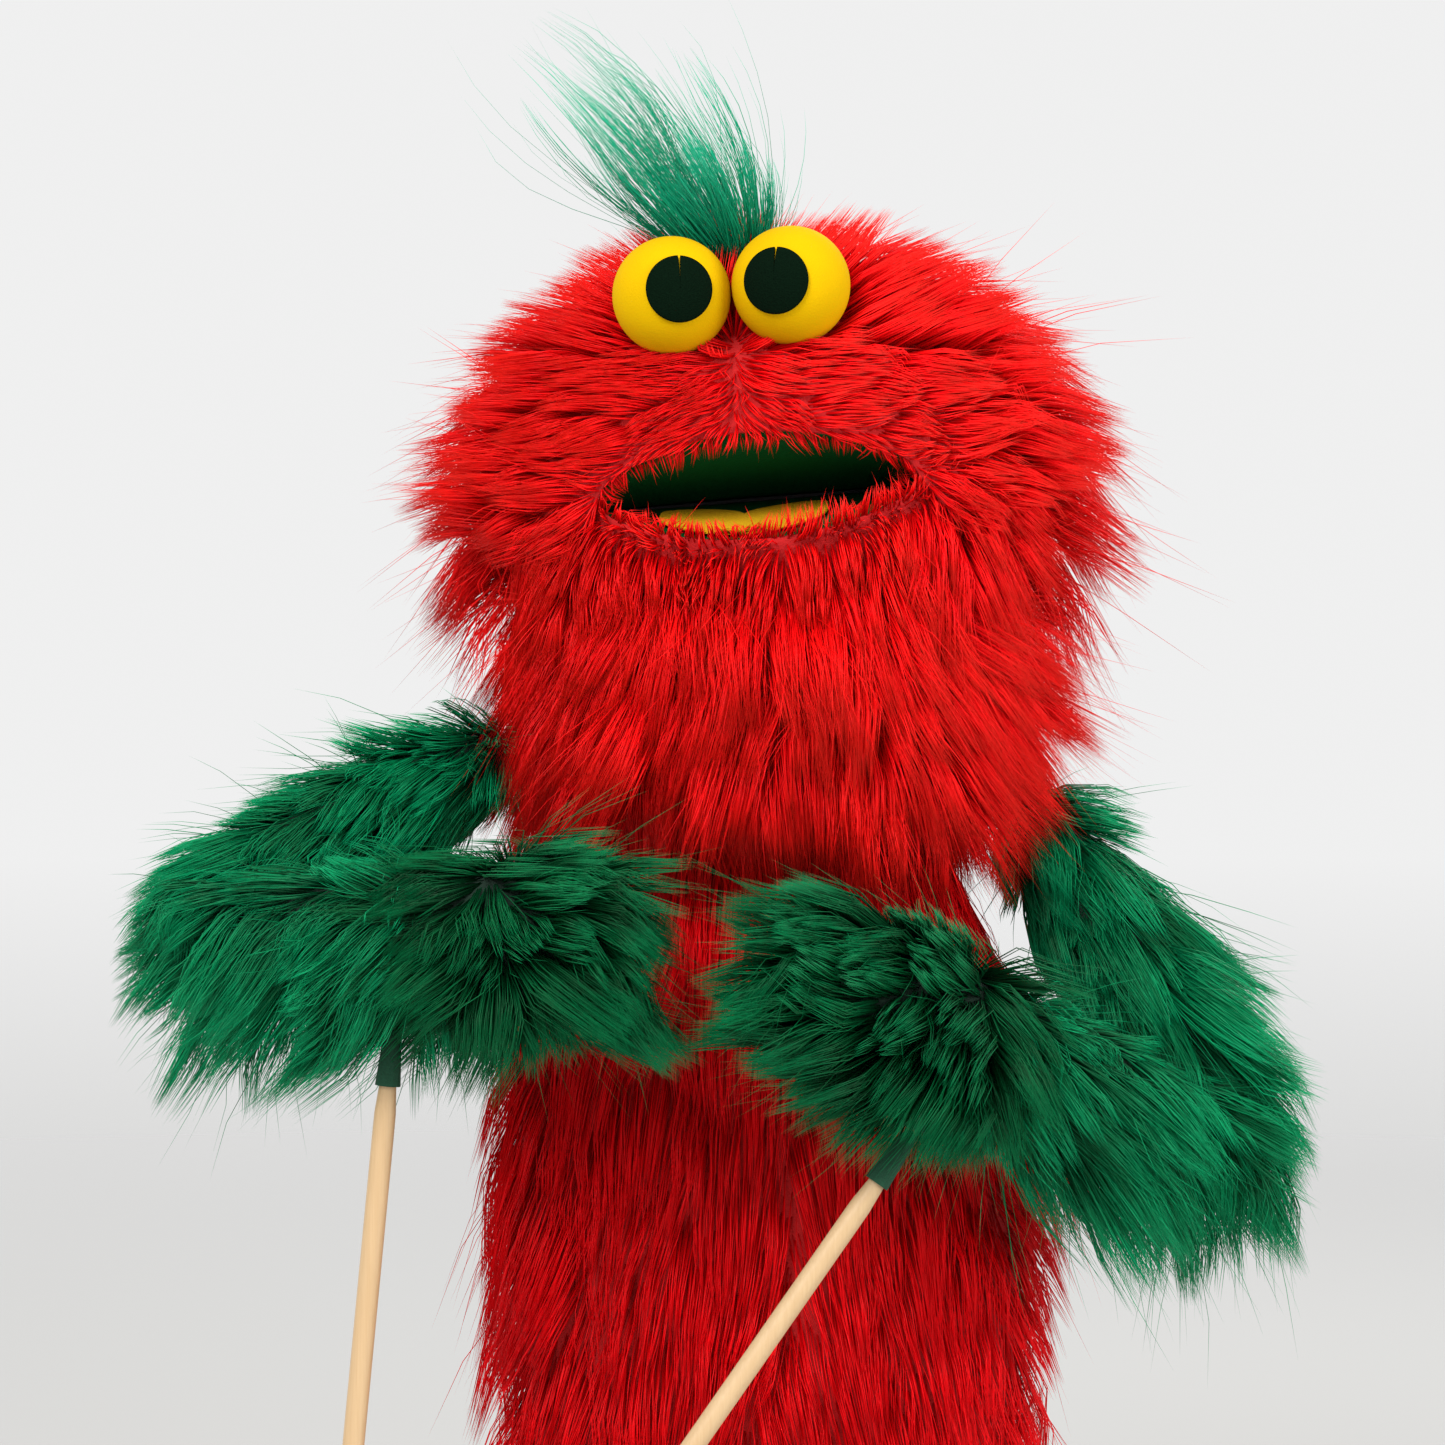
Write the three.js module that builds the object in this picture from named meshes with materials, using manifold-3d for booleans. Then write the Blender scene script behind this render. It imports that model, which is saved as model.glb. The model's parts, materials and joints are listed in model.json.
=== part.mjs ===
// A furry hand-and-rod puppet: a long sleeve worn on the forearm, a foam head with a moving mouth,
// stuffed arms folded at a stitched elbow, and a dowel under each paw.
// Millimetres. +Z is up, the face looks along -Y, and the origin is the centre of the sleeve's hem.
import * as THREE from "three";
import { mergeVertices } from "three/addons/utils/BufferGeometryUtils.js";
import Module from "manifold-3d";

// ---- Driving dimensions -------------------------------------------------------------------------
const GAP = 0.4; // kept between two pieces that touch
const STUFFING_GAP = 1.6; // kept between a stuffing and its fur
const ROUND = 24; // sides of the large round pieces
const SMALL_ROUND = 14; // sides of the limbs and small pieces

// Sleeve
const BODY_HEIGHT = 335; // hem to shoulders
const BODY_HALF_WIDTH = 127; // at its widest, with the pile
// The sleeve hangs flat: its depth over its width, by height.
const BODY_DEPTH_RATIOS = [
  [0, 0.62],
  [BODY_HEIGHT - 105, 0.57],
  [BODY_HEIGHT, 0.48],
];
const BODY_PILE = 21; // fur fabric with its standing pile
const LINING_WALL = 1.6;
const HEM_HEIGHT = 10;
const HEM_WALL = 5;

// Neck ring, which turns on the sleeve, and the nod above it
const NECK_GAP = 1.5;
const NECK_HALF_WIDTH = 66;
const NECK_HALF_DEPTH = 46;
const NECK_WALL = 11;
const NECK_HEIGHT = 9;
const CUFF_WALL = 1.5;

// Head: every piece lies about the mouth's hinge, which runs along X through the head's middle
const HINGE = new THREE.Vector3(0, 0, BODY_HEIGHT + 106);
const HEAD_ROLL = -4.5; // degrees, the crown leans to -X
const HEAD_YAW = -4; // degrees, the face turns to -X
const HEAD_HALF_WIDTH = 130;
const HEAD_RADIUS = 112;
const HEAD_PILE = 17.5;
const FOAM_WALL = 14;
const UPPER_MOUTH_ANGLE = 14; // the upper palate above the level, at rest
const LOWER_MOUTH_ANGLE = -14;
const NAPE_ANGLE = 236; // where the head's shell ends behind, from the front over the top
const JAW_HALF_WIDTH = 112;
const JAW_RADIUS = 104;
const JAW_PILE = 17;
const JAW_THICKNESS_ANGLE = 26;

// Mouth
const FELT = 1.5;
const PLATE = 3;
const PLATE_HALF_WIDTH = 64;
const PLATE_DEPTH = 77;
const PLATE_SETBACK = 6; // from the hinge line to the plates
const FELT_LIP = 4; // the felt is wider than the plate all round
const FELT_FRONT = 16; // and longer, to turn under the lip
const TAPE_RADIUS = 2.4;
const TONGUE = 2;
const TONGUE_HALF_WIDTH = 36;
const TONGUE_LENGTH = 50;
const TONGUE_BACK = 36; // from the hinge line to the tongue's lobes
const STRAP_WIDTH = 25;
const STRAP_THICKNESS = 2;
const FINGER_STRAP = { halfSpan: 40, height: 24 };
const THUMB_STRAP = { halfSpan: 19, height: 21 };
const THUMB_GROOVE = { halfWidth: 24, depth: 66 };

// Eyes and hair
const EYE_RADIUS = 25;
const EYE_HEIGHT = 84; // above the hinge
const EYE_FORWARD = 76;
const EYE_SIDE_SHIFT = -4.5; // the pair sits to -X of the head's middle
const PUPIL_RADIUS = 13.2;
const PUPIL_THICKNESS = 1.2;
const PUPIL_TURN_IN = 13; // degrees, each pupil looks towards the other
const TUFT_BASE = { radius: 10, height: 5 };
const TUFT_ROOM = 6; // the pile parts this far round the tuft
const TUFT_HEIGHT = 92;
const TUFT_SPREAD = 66;
const TUFT_LEAN = -42;
const TUFT_THICKNESS = 16;

// Beard, a bib of long fur that hangs from the throat
const BEARD_RADIUS = 103;
const BEARD_PILE = 19;
const BEARD_HALF_ANGLE = 46; // degrees either side of the front
const BEARD_TOP = BODY_HEIGHT + 43;
const BEARD_BOTTOM = BODY_HEIGHT - 45;
const BEARD_DEPTH_RATIO = 0.98;

// Arms
const SHOULDER_SIDE = 105;
const UPPER_ARM = 180; // shoulder to elbow seam
const WRIST = 115; // elbow seam to the paw's cuff
const PAW_LENGTH = 102;
const PAW_HALF_WIDTH = 41;
const PAW_HALF_THICKNESS = 36;
const ARM_PILE = 18;
const ARM_HALF_WIDTH = 36;
const SEAM_THICKNESS = 2.4; // half the arm's thickness where it is stitched flat
const TAB = { past: 7, height: 16, thickness: 4 };
const THREAD = { radius: 0.9, length: 36 };
const ARMS = [
  {
    name: "left",
    side: 1,
    shoulderHeight: BODY_HEIGHT - 21,
    upper: new THREE.Vector3(91, -54, -146),
    fore: new THREE.Vector3(-144, -70, 60),
    rodAt: 148,
    rod: new THREE.Vector3(-0.575, -0.08, -0.81),
  },
  {
    name: "right",
    side: -1,
    shoulderHeight: BODY_HEIGHT - 1,
    upper: new THREE.Vector3(-142, -65, -76),
    fore: new THREE.Vector3(149, -62, 2),
    rodAt: 104,
    rod: new THREE.Vector3(-0.095, 0, -0.995),
  },
];

// Rods
const ROD_RADIUS = 4.5;
const ROD_LENGTH = 400;
const ROD_TAPER = 34;
const ROD_TIP_RADIUS = 1.8;
const POCKET = { wall: 1.4, length: 22, dome: 3.7 };
const ROD_TAB = { length: 12, height: 5, thickness: 5 };

// ---- Solids -------------------------------------------------------------------------------------
const wasm = await Module();
wasm.setup();

const radians = THREE.MathUtils.degToRad;

// A closed geometry with its shared corners merged, as booleans need it.
function merged(geometry) {
  const plain = geometry.index ? geometry.toNonIndexed() : geometry.clone();
  plain.deleteAttribute("normal");
  plain.deleteAttribute("uv");
  return mergeVertices(plain, 1e-4);
}

function manifold(geometry) {
  const closed = merged(geometry);
  const mesh = new wasm.Mesh({
    numProp: 3,
    vertProperties: new Float32Array(closed.attributes.position.array),
    triVerts: new Uint32Array(closed.index.array),
  });
  return new wasm.Manifold(mesh);
}

function geometryOf(solid) {
  const mesh = solid.getMesh();
  const made = new THREE.BufferGeometry();
  made.setAttribute("position", new THREE.BufferAttribute(mesh.vertProperties, 3));
  made.setIndex(new THREE.BufferAttribute(mesh.triVerts, 1));
  return made;
}

const cut = (from, ...tools) =>
  geometryOf(tools.reduce((left, tool) => left.subtract(manifold(tool)), manifold(from)));
const common = (a, b) => geometryOf(manifold(a).intersect(manifold(b)));

// Turns an outline of [radius, height] corners about Z.
function revolve(outline, sides = SMALL_ROUND) {
  const points = outline.map(([radius, height]) => new THREE.Vector2(radius, height));
  return new THREE.LatheGeometry(points, sides).rotateX(Math.PI / 2);
}

// Scales a revolved piece's Y by a ratio that may change along Z.
function flatten(geometry, ratioAt) {
  const place = geometry.attributes.position;
  for (let i = 0; i < place.count; i++) {
    place.setY(i, place.getY(i) * ratioAt(place.getZ(i)));
  }
  return geometry;
}

// The value at `at` on a line through [position, value] stations.
function along(stations, at) {
  const last = stations.length - 1;
  if (at <= stations[0][0]) return stations[0][1];
  if (at >= stations[last][0]) return stations[last][1];
  const i = stations.findIndex(([position]) => position >= at);
  const [a, va] = stations[i - 1];
  const [b, vb] = stations[i];
  return va + ((vb - va) * (at - a)) / (b - a);
}

// A ball with its poles on X, stretched along X.
function spheroid(halfWidth, radius) {
  return new THREE.SphereGeometry(1, ROUND, 12)
    .rotateZ(Math.PI / 2)
    .scale(halfWidth, radius, radius);
}

// A slice of a disc from one angle to another, as thick as it is wide.
function slice(reach, from, to) {
  const shape = new THREE.Shape();
  shape.moveTo(0, 0);
  shape.lineTo(reach * Math.cos(radians(from)), reach * Math.sin(radians(from)));
  shape.absarc(0, 0, reach, radians(from), radians(to), false);
  shape.closePath();
  const options = { depth: 2 * reach, bevelEnabled: false, curveSegments: 12 };
  return new THREE.ExtrudeGeometry(shape, options).translate(0, 0, -reach);
}

// A wedge about the hinge from one angle to another, in degrees from the front over the top.
function wedge(from, to) {
  const made = slice(2 * HEAD_HALF_WIDTH, from, to);
  return made.applyMatrix4(
    new THREE.Matrix4().makeBasis(
      new THREE.Vector3(0, -1, 0),
      new THREE.Vector3(0, 0, 1),
      new THREE.Vector3(-1, 0, 0),
    ),
  );
}

// The part of a spheroid shell between two angles about the hinge.
function shell(halfWidth, radius, wall, from, to) {
  const hollow = cut(spheroid(halfWidth, radius), spheroid(halfWidth - wall, radius - wall));
  return common(hollow, wedge(from, to));
}

// ---- Assembly -----------------------------------------------------------------------------------
const puppet = new THREE.Group();

const looks = {
  redFur: new THREE.MeshStandardMaterial({ color: 0xc80f14, roughness: 0.85, metalness: 0 }),
  greenFur: new THREE.MeshStandardMaterial({ color: 0x026b40, roughness: 0.85, metalness: 0 }),
  greenFelt: new THREE.MeshStandardMaterial({ color: 0x0d4a1c, roughness: 0.95, metalness: 0 }),
  yellowFelt: new THREE.MeshStandardMaterial({ color: 0xd0960a, roughness: 0.95, metalness: 0 }),
  yellowFoam: new THREE.MeshStandardMaterial({ color: 0xf3ca01, roughness: 0.8, metalness: 0 }),
  blackFelt: new THREE.MeshStandardMaterial({ color: 0x031206, roughness: 0.95, metalness: 0 }),
  foam: new THREE.MeshStandardMaterial({ color: 0xd9d2bd, roughness: 0.95, metalness: 0 }),
  board: new THREE.MeshStandardMaterial({ color: 0x2a2a2a, roughness: 0.6, metalness: 0 }),
  cotton: new THREE.MeshStandardMaterial({ color: 0x7d1014, roughness: 0.9, metalness: 0 }),
  greenCotton: new THREE.MeshStandardMaterial({ color: 0x0a4d30, roughness: 0.9, metalness: 0 }),
  elastic: new THREE.MeshStandardMaterial({ color: 0x1c1c1e, roughness: 0.8, metalness: 0 }),
  stuffing: new THREE.MeshStandardMaterial({ color: 0xf0f0ea, roughness: 1, metalness: 0 }),
  wood: new THREE.MeshStandardMaterial({ color: 0xe1c194, roughness: 0.55, metalness: 0 }),
};

function add(parent, name, geometry, material) {
  const mesh = new THREE.Mesh(geometry, material);
  mesh.name = name;
  parent.add(mesh);
  return mesh;
}

// ---- Sleeve: fur outside, cotton inside, a bound hem --------------------------------------------
const bodyOutline = [
  [HEM_HEIGHT + GAP, BODY_HALF_WIDTH * 0.955],
  [BODY_HEIGHT - 290, BODY_HALF_WIDTH * 0.99],
  [BODY_HEIGHT - 215, BODY_HALF_WIDTH],
  [BODY_HEIGHT - 140, BODY_HALF_WIDTH * 0.985],
  [BODY_HEIGHT - 90, BODY_HALF_WIDTH * 0.88],
  [BODY_HEIGHT - 45, BODY_HALF_WIDTH * 0.72],
  [BODY_HEIGHT, BODY_HALF_WIDTH * 0.62],
];

function sleeve(inset, wall, bottom, top) {
  const heights = bodyOutline.map(([height]) => height).filter((h) => h > bottom && h < top);
  const stops = [bottom, ...heights, top];
  const outside = stops.map((h) => [along(bodyOutline, h) - inset, h]);
  const inside = stops.map((h) => [along(bodyOutline, h) - inset - wall, h]).reverse();
  const ring = [...outside, ...inside];
  ring.push(ring[0]);
  return flatten(revolve(ring, ROUND), (height) => along(BODY_DEPTH_RATIOS, height));
}

add(puppet, "body_fur", sleeve(0, BODY_PILE, HEM_HEIGHT + GAP, BODY_HEIGHT), looks.redFur);
add(
  puppet,
  "body_lining",
  sleeve(BODY_PILE + GAP, LINING_WALL, HEM_HEIGHT + GAP, BODY_HEIGHT - GAP),
  looks.cotton,
);
add(puppet, "hem_binding", sleeve(BODY_PILE - HEM_WALL / 2, HEM_WALL, 0, HEM_HEIGHT), looks.cotton);

// ---- Neck ring ----------------------------------------------------------------------------------
const neckBottom = BODY_HEIGHT + NECK_GAP;
const neckTop = neckBottom + NECK_HEIGHT;

function oval(halfWidth, halfDepth, wall, bottom, top) {
  const inner = halfWidth - wall;
  const ring = [
    [halfWidth, bottom],
    [halfWidth, top],
    [inner, top],
    [inner, bottom],
    [halfWidth, bottom],
  ];
  return flatten(revolve(ring, ROUND), () => halfDepth / halfWidth);
}

add(
  puppet,
  "neck_foam_ring",
  oval(NECK_HALF_WIDTH, NECK_HALF_DEPTH, NECK_WALL, neckBottom, neckTop),
  looks.foam,
);
add(
  puppet,
  "neck_cuff",
  oval(
    NECK_HALF_WIDTH + CUFF_WALL + GAP,
    NECK_HALF_DEPTH + CUFF_WALL + GAP,
    CUFF_WALL,
    neckBottom,
    neckTop,
  ),
  looks.cotton,
);

// ---- Head, in a frame on the mouth's hinge ------------------------------------------------------
const head = new THREE.Group();
head.position.copy(HINGE);
head.rotation.set(0, radians(HEAD_ROLL), radians(HEAD_YAW), "ZYX");
puppet.add(head);

const foamHalfWidth = HEAD_HALF_WIDTH - HEAD_PILE - GAP;
const foamRadius = HEAD_RADIUS - HEAD_PILE - GAP;
// The room that the mouth's felt, or its felt and board, take out of the shell above or below a palate.
const SHELL_SPAN = 2 * HEAD_HALF_WIDTH;
const mouthRoom = (thickness, palateAngle) =>
  new THREE.BoxGeometry(SHELL_SPAN, SHELL_SPAN, 2 * (thickness + GAP))
    .translate(0, -SHELL_SPAN / 2, 0)
    .rotateX(radians(-palateAngle));
const feltAndPlate = FELT + GAP + PLATE;

const eyeCentres = [-1, 1].map(
  (side) =>
    new THREE.Vector3(side * (EYE_RADIUS + GAP / 2) + EYE_SIDE_SHIFT, -EYE_FORWARD, EYE_HEIGHT),
);
const ballAt = (centre, radius) =>
  new THREE.SphereGeometry(radius, 16, 10).translate(centre.x, centre.y, centre.z);

// The tuft stands on a round tab between the eyes, on the foam's crown.
const tuftFoot = new THREE.Vector3(EYE_SIDE_SHIFT, -foamRadius * 0.5, 0);
tuftFoot.z = Math.sqrt(foamRadius ** 2 - tuftFoot.y ** 2) + GAP;
const seatRadius = TUFT_BASE.radius + TUFT_ROOM;
const tuftSeat = new THREE.CylinderGeometry(seatRadius, seatRadius, 90, SMALL_ROUND)
  .rotateX(Math.PI / 2)
  .translate(tuftFoot.x, tuftFoot.y, tuftFoot.z + 20);

const headFur = cut(
  shell(HEAD_HALF_WIDTH, HEAD_RADIUS, HEAD_PILE, UPPER_MOUTH_ANGLE, NAPE_ANGLE),
  mouthRoom(FELT, UPPER_MOUTH_ANGLE),
  ...eyeCentres.map((centre) => ballAt(centre, EYE_RADIUS + GAP)),
  tuftSeat,
);
const headFoam = cut(
  shell(foamHalfWidth, foamRadius, FOAM_WALL, UPPER_MOUTH_ANGLE, NAPE_ANGLE),
  mouthRoom(feltAndPlate, UPPER_MOUTH_ANGLE),
);
add(head, "head_fur", headFur, looks.redFur);
add(head, "head_foam", headFoam, looks.foam);

// Foam balls with scooped backs, glued on the foam skull, and felt discs coned over them.
function pupil(centre, side) {
  const spread = Math.asin(PUPIL_RADIUS / EYE_RADIUS);
  const inner = EYE_RADIUS + GAP;
  const outer = inner + PUPIL_THICKNESS;
  const steps = [0, 0.5, 1];
  const arc = (radius) => steps.map((s) => [radius * Math.sin(s * spread), radius * Math.cos(s * spread)]);
  const disc = revolve([...arc(inner), ...arc(outer).reverse()], 16);
  disc.rotateX(Math.PI / 2);
  disc.rotateZ(radians(-side * PUPIL_TURN_IN));
  return disc.translate(centre.x, centre.y, centre.z);
}

const skull = spheroid(foamHalfWidth + GAP, foamRadius + GAP);
eyeCentres.forEach((centre, i) => {
  const side = i === 0 ? -1 : 1;
  const name = side < 0 ? "right" : "left";
  add(head, `${name}_eye`, cut(ballAt(centre, EYE_RADIUS), skull, tuftSeat), looks.yellowFoam);
  add(head, `${name}_pupil`, pupil(centre, side), looks.blackFelt);
});

// Hair tuft: a fan of long fur on a round tab.
const tab = cut(
  new THREE.CylinderGeometry(TUFT_BASE.radius, TUFT_BASE.radius, 24, SMALL_ROUND)
    .rotateX(Math.PI / 2)
    .translate(tuftFoot.x, tuftFoot.y, tuftFoot.z + TUFT_BASE.height - 12),
  skull,
  ...eyeCentres.map((centre) => ballAt(centre, EYE_RADIUS + GAP)),
);
add(head, "tuft_tab", tab, looks.greenCotton);

function tuft() {
  const half = TUFT_BASE.radius * 0.72;
  const top = TUFT_HEIGHT;
  const shape = new THREE.Shape();
  shape.moveTo(-half, 0);
  shape.quadraticCurveTo(-half * 1.6, top * 0.42, TUFT_LEAN - TUFT_SPREAD * 0.42, top * 0.66);
  shape.quadraticCurveTo(TUFT_LEAN - TUFT_SPREAD * 0.2, top * 0.98, TUFT_LEAN * 0.62, top);
  shape.quadraticCurveTo(half * 1.1, top * 0.82, half, 0);
  const fan = new THREE.ExtrudeGeometry(shape, {
    depth: TUFT_THICKNESS,
    bevelEnabled: false,
    curveSegments: 7,
  });
  fan.rotateX(Math.PI / 2).translate(0, TUFT_THICKNESS / 2, 0);
  const foot = tuftFoot.z + TUFT_BASE.height + GAP;
  fan.translate(tuftFoot.x, tuftFoot.y, foot);
  return cut(fan, ...eyeCentres.map((centre) => ballAt(centre, EYE_RADIUS + GAP)));
}
add(head, "hair_tuft", tuft(), looks.greenFur);

// ---- Mouth: two half-oval boards lined with felt, in frames that lie on the palates --------------
function halfOval(halfWidth, depth) {
  const shape = new THREE.Shape();
  shape.absellipse(0, -PLATE_SETBACK, halfWidth, depth, Math.PI, 2 * Math.PI, false);
  shape.closePath();
  return shape;
}

function slab(shape, from, to) {
  const options = { depth: to - from, bevelEnabled: false, curveSegments: 20 };
  return new THREE.ExtrudeGeometry(shape, options).translate(0, 0, from);
}

const plateShape = halfOval(PLATE_HALF_WIDTH, PLATE_DEPTH);
const feltShape = halfOval(PLATE_HALF_WIDTH + FELT_LIP, PLATE_DEPTH + FELT_FRONT);

// An elastic band over a board: a flat arch across it, its ends on the board.
function strap({ halfSpan, height }, back) {
  const inner = (x) => x - STRAP_THICKNESS;
  const shape = new THREE.Shape();
  shape.moveTo(-halfSpan, 0);
  shape.bezierCurveTo(-halfSpan, height * 1.33, halfSpan, height * 1.33, halfSpan, 0);
  shape.lineTo(inner(halfSpan), 0);
  shape.bezierCurveTo(
    inner(halfSpan),
    inner(height) * 1.33,
    -inner(halfSpan),
    inner(height) * 1.33,
    -inner(halfSpan),
    0,
  );
  shape.closePath();
  const band = new THREE.ExtrudeGeometry(shape, {
    depth: STRAP_WIDTH,
    bevelEnabled: false,
    curveSegments: 10,
  });
  return band.rotateX(Math.PI / 2).translate(0, -back, 0);
}

const upperPalate = new THREE.Group();
upperPalate.rotation.x = radians(-UPPER_MOUTH_ANGLE);
head.add(upperPalate);
const plateFrom = FELT + GAP;
const plateTo = plateFrom + PLATE;
add(upperPalate, "upper_palate_felt", slab(feltShape, 0, FELT), looks.greenFelt);
add(upperPalate, "upper_mouth_plate", slab(plateShape, plateFrom, plateTo), looks.board);
add(
  upperPalate,
  "finger_strap",
  strap(FINGER_STRAP, 22).translate(0, 0, plateTo + GAP),
  looks.elastic,
);

const lowerPalate = new THREE.Group();
lowerPalate.rotation.x = radians(-LOWER_MOUTH_ANGLE);
head.add(lowerPalate);
add(lowerPalate, "lower_palate_felt", slab(feltShape, -FELT, 0), looks.greenFelt);
add(lowerPalate, "lower_mouth_plate", slab(plateShape, -plateTo, -plateFrom), looks.board);
add(
  lowerPalate,
  "thumb_strap",
  strap(THUMB_STRAP, 20).rotateY(Math.PI).translate(0, 0, -plateTo - GAP),
  looks.elastic,
);

// The tongue: two lobes at the back, one rounded front.
function tongueShape() {
  const w = TONGUE_HALF_WIDTH;
  const back = -TONGUE_BACK;
  const front = back - TONGUE_LENGTH;
  const shape = new THREE.Shape();
  shape.moveTo(0, back - 6);
  shape.bezierCurveTo(-w * 0.2, back + 2, -w, back + 4, -w, back - TONGUE_LENGTH * 0.36);
  shape.bezierCurveTo(-w, front + 6, -w * 0.45, front, 0, front);
  shape.bezierCurveTo(w * 0.45, front, w, front + 6, w, back - TONGUE_LENGTH * 0.36);
  shape.bezierCurveTo(w, back + 4, w * 0.2, back + 2, 0, back - 6);
  return shape;
}
add(lowerPalate, "tongue", slab(tongueShape(), GAP, GAP + TONGUE), looks.yellowFelt);

// The hinge: a folded strip of cloth tape between the boards.
const tape = new THREE.CylinderGeometry(TAPE_RADIUS, TAPE_RADIUS, 2 * PLATE_HALF_WIDTH, 12).rotateZ(
  Math.PI / 2,
);
add(head, "mouth_hinge_tape", tape, looks.elastic);

// ---- Jaw ----------------------------------------------------------------------------------------
const jawFrom = LOWER_MOUTH_ANGLE - JAW_THICKNESS_ANGLE;
const jawFoamHalfWidth = JAW_HALF_WIDTH - JAW_PILE - GAP;
const jawFoamRadius = JAW_RADIUS - JAW_PILE - GAP;
const inFrontOf = (setback) =>
  new THREE.BoxGeometry(SHELL_SPAN, SHELL_SPAN, SHELL_SPAN).translate(0, -SHELL_SPAN / 2 - setback, 0);
const jawFur = cut(
  common(
    shell(JAW_HALF_WIDTH, JAW_RADIUS, JAW_PILE, jawFrom, LOWER_MOUTH_ANGLE),
    inFrontOf(PLATE_SETBACK),
  ),
  mouthRoom(FELT, LOWER_MOUTH_ANGLE),
);
add(head, "jaw_fur", jawFur, looks.redFur);

// The thumb lies in a groove under the lower board.
const groove = new THREE.CylinderGeometry(1, 1, THUMB_GROOVE.depth, SMALL_ROUND)
  .scale(THUMB_GROOVE.halfWidth, 1, THUMB_GROOVE.halfWidth)
  .translate(0, -THUMB_GROOVE.depth / 2, -feltAndPlate)
  .rotateX(radians(-LOWER_MOUTH_ANGLE));
const jawWedge = common(
  spheroid(jawFoamHalfWidth, jawFoamRadius),
  wedge(jawFrom, LOWER_MOUTH_ANGLE),
);
const jawFoam = cut(
  common(jawWedge, inFrontOf(PLATE_SETBACK)),
  mouthRoom(feltAndPlate, LOWER_MOUTH_ANGLE),
  groove,
);
add(head, "jaw_foam", jawFoam, looks.foam);

// ---- Beard ----------------------------------------------------------------------------------------
function beard() {
  const bottom = BEARD_BOTTOM - HINGE.z;
  const top = BEARD_TOP - HINGE.z;
  const middle = (bottom + top) / 2;
  const inner = BEARD_RADIUS - BEARD_PILE;
  const ring = [
    [inner + 5, bottom],
    [BEARD_RADIUS - 4, bottom],
    [BEARD_RADIUS, middle],
    [BEARD_RADIUS - 3, top],
    [inner, top],
    [inner, middle],
    [inner + 5, bottom],
  ];
  const collar = flatten(revolve(ring, ROUND), () => BEARD_DEPTH_RATIO);
  const sector = slice(2 * BEARD_RADIUS, -90 - BEARD_HALF_ANGLE, -90 + BEARD_HALF_ANGLE);
  return cut(common(collar, sector), spheroid(JAW_HALF_WIDTH + 6, JAW_RADIUS + 2));
}
add(head, "beard_fur", beard(), looks.redFur);

// ---- Arms ---------------------------------------------------------------------------------------
// A limb runs along its own Z. Its stations are [position, half width, half thickness].
const widths = (stations) => stations.map(([at, width]) => [at, width]);
const ratios = (stations) => stations.map(([at, width, thickness]) => [at, thickness / width]);

function limbTube(stations, wall) {
  const outside = widths(stations).map(([at, width]) => [width, at]);
  const inside = widths(stations)
    .map(([at, width]) => [width - wall, at])
    .reverse();
  const ring = [...outside, ...inside, outside[0]];
  return flatten(revolve(ring), (z) => along(ratios(stations), z));
}

function limbCore(stations, wall) {
  const outline = stations.map(([at, width]) => [width - wall - STUFFING_GAP, at]);
  const from = outline[0][1];
  const to = outline[outline.length - 1][1];
  const closed = [[0, from], ...outline, [0, to]];
  return flatten(revolve(closed), (z) => along(ratios(stations), z));
}

const upperArmStations = [
  [12.5, 20, 13],
  [36, 26, 21],
  [70, ARM_HALF_WIDTH, ARM_HALF_WIDTH * 0.9],
  [UPPER_ARM - 66, ARM_HALF_WIDTH, ARM_HALF_WIDTH * 0.86],
  [UPPER_ARM - 34, ARM_HALF_WIDTH * 0.92, ARM_HALF_WIDTH * 0.38],
  [UPPER_ARM - 5, ARM_HALF_WIDTH * 0.8, SEAM_THICKNESS],
];
const forearmStations = [
  [5, ARM_HALF_WIDTH * 0.8, SEAM_THICKNESS],
  [34, ARM_HALF_WIDTH * 0.9, ARM_HALF_WIDTH * 0.37],
  [64, ARM_HALF_WIDTH * 0.92, ARM_HALF_WIDTH * 0.74],
  [WRIST - GAP, ARM_HALF_WIDTH * 0.86, ARM_HALF_WIDTH * 0.8],
];
// The paw's half width along its length, from its cuff to its round end.
const pawWidths = [0.74, 0.87, 0.97, 1, 0.9, 0.66].map((share, i) => [
  (i * PAW_LENGTH) / 6.2,
  PAW_HALF_WIDTH * share,
]);

function paw(inset, end) {
  const profile = pawWidths.map(([at, width]) => [width - inset, at]);
  const tip = [0, end];
  return { profile, tip };
}

function pawFur() {
  const outer = paw(0, PAW_LENGTH);
  const inner = paw(ARM_PILE, PAW_LENGTH - ARM_PILE);
  const ring = [inner.tip, ...inner.profile.reverse(), ...outer.profile, outer.tip];
  return flatten(revolve(ring), () => PAW_HALF_THICKNESS / PAW_HALF_WIDTH);
}

function pawStuffing() {
  const { profile, tip } = paw(ARM_PILE + STUFFING_GAP, PAW_LENGTH - ARM_PILE - STUFFING_GAP);
  const ring = [[0, profile[0][1]], ...profile, tip];
  return flatten(revolve(ring), () => PAW_HALF_THICKNESS / PAW_HALF_WIDTH);
}

// A group at `origin` whose Z runs along `direction` and whose X is `across`.
function frameAt(origin, direction, across) {
  const z = direction.clone().normalize();
  const x = across.clone().normalize();
  const y = new THREE.Vector3().crossVectors(z, x).normalize();
  const frame = new THREE.Group();
  frame.applyMatrix4(new THREE.Matrix4().makeBasis(x, y, z).setPosition(origin));
  return frame;
}

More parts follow.
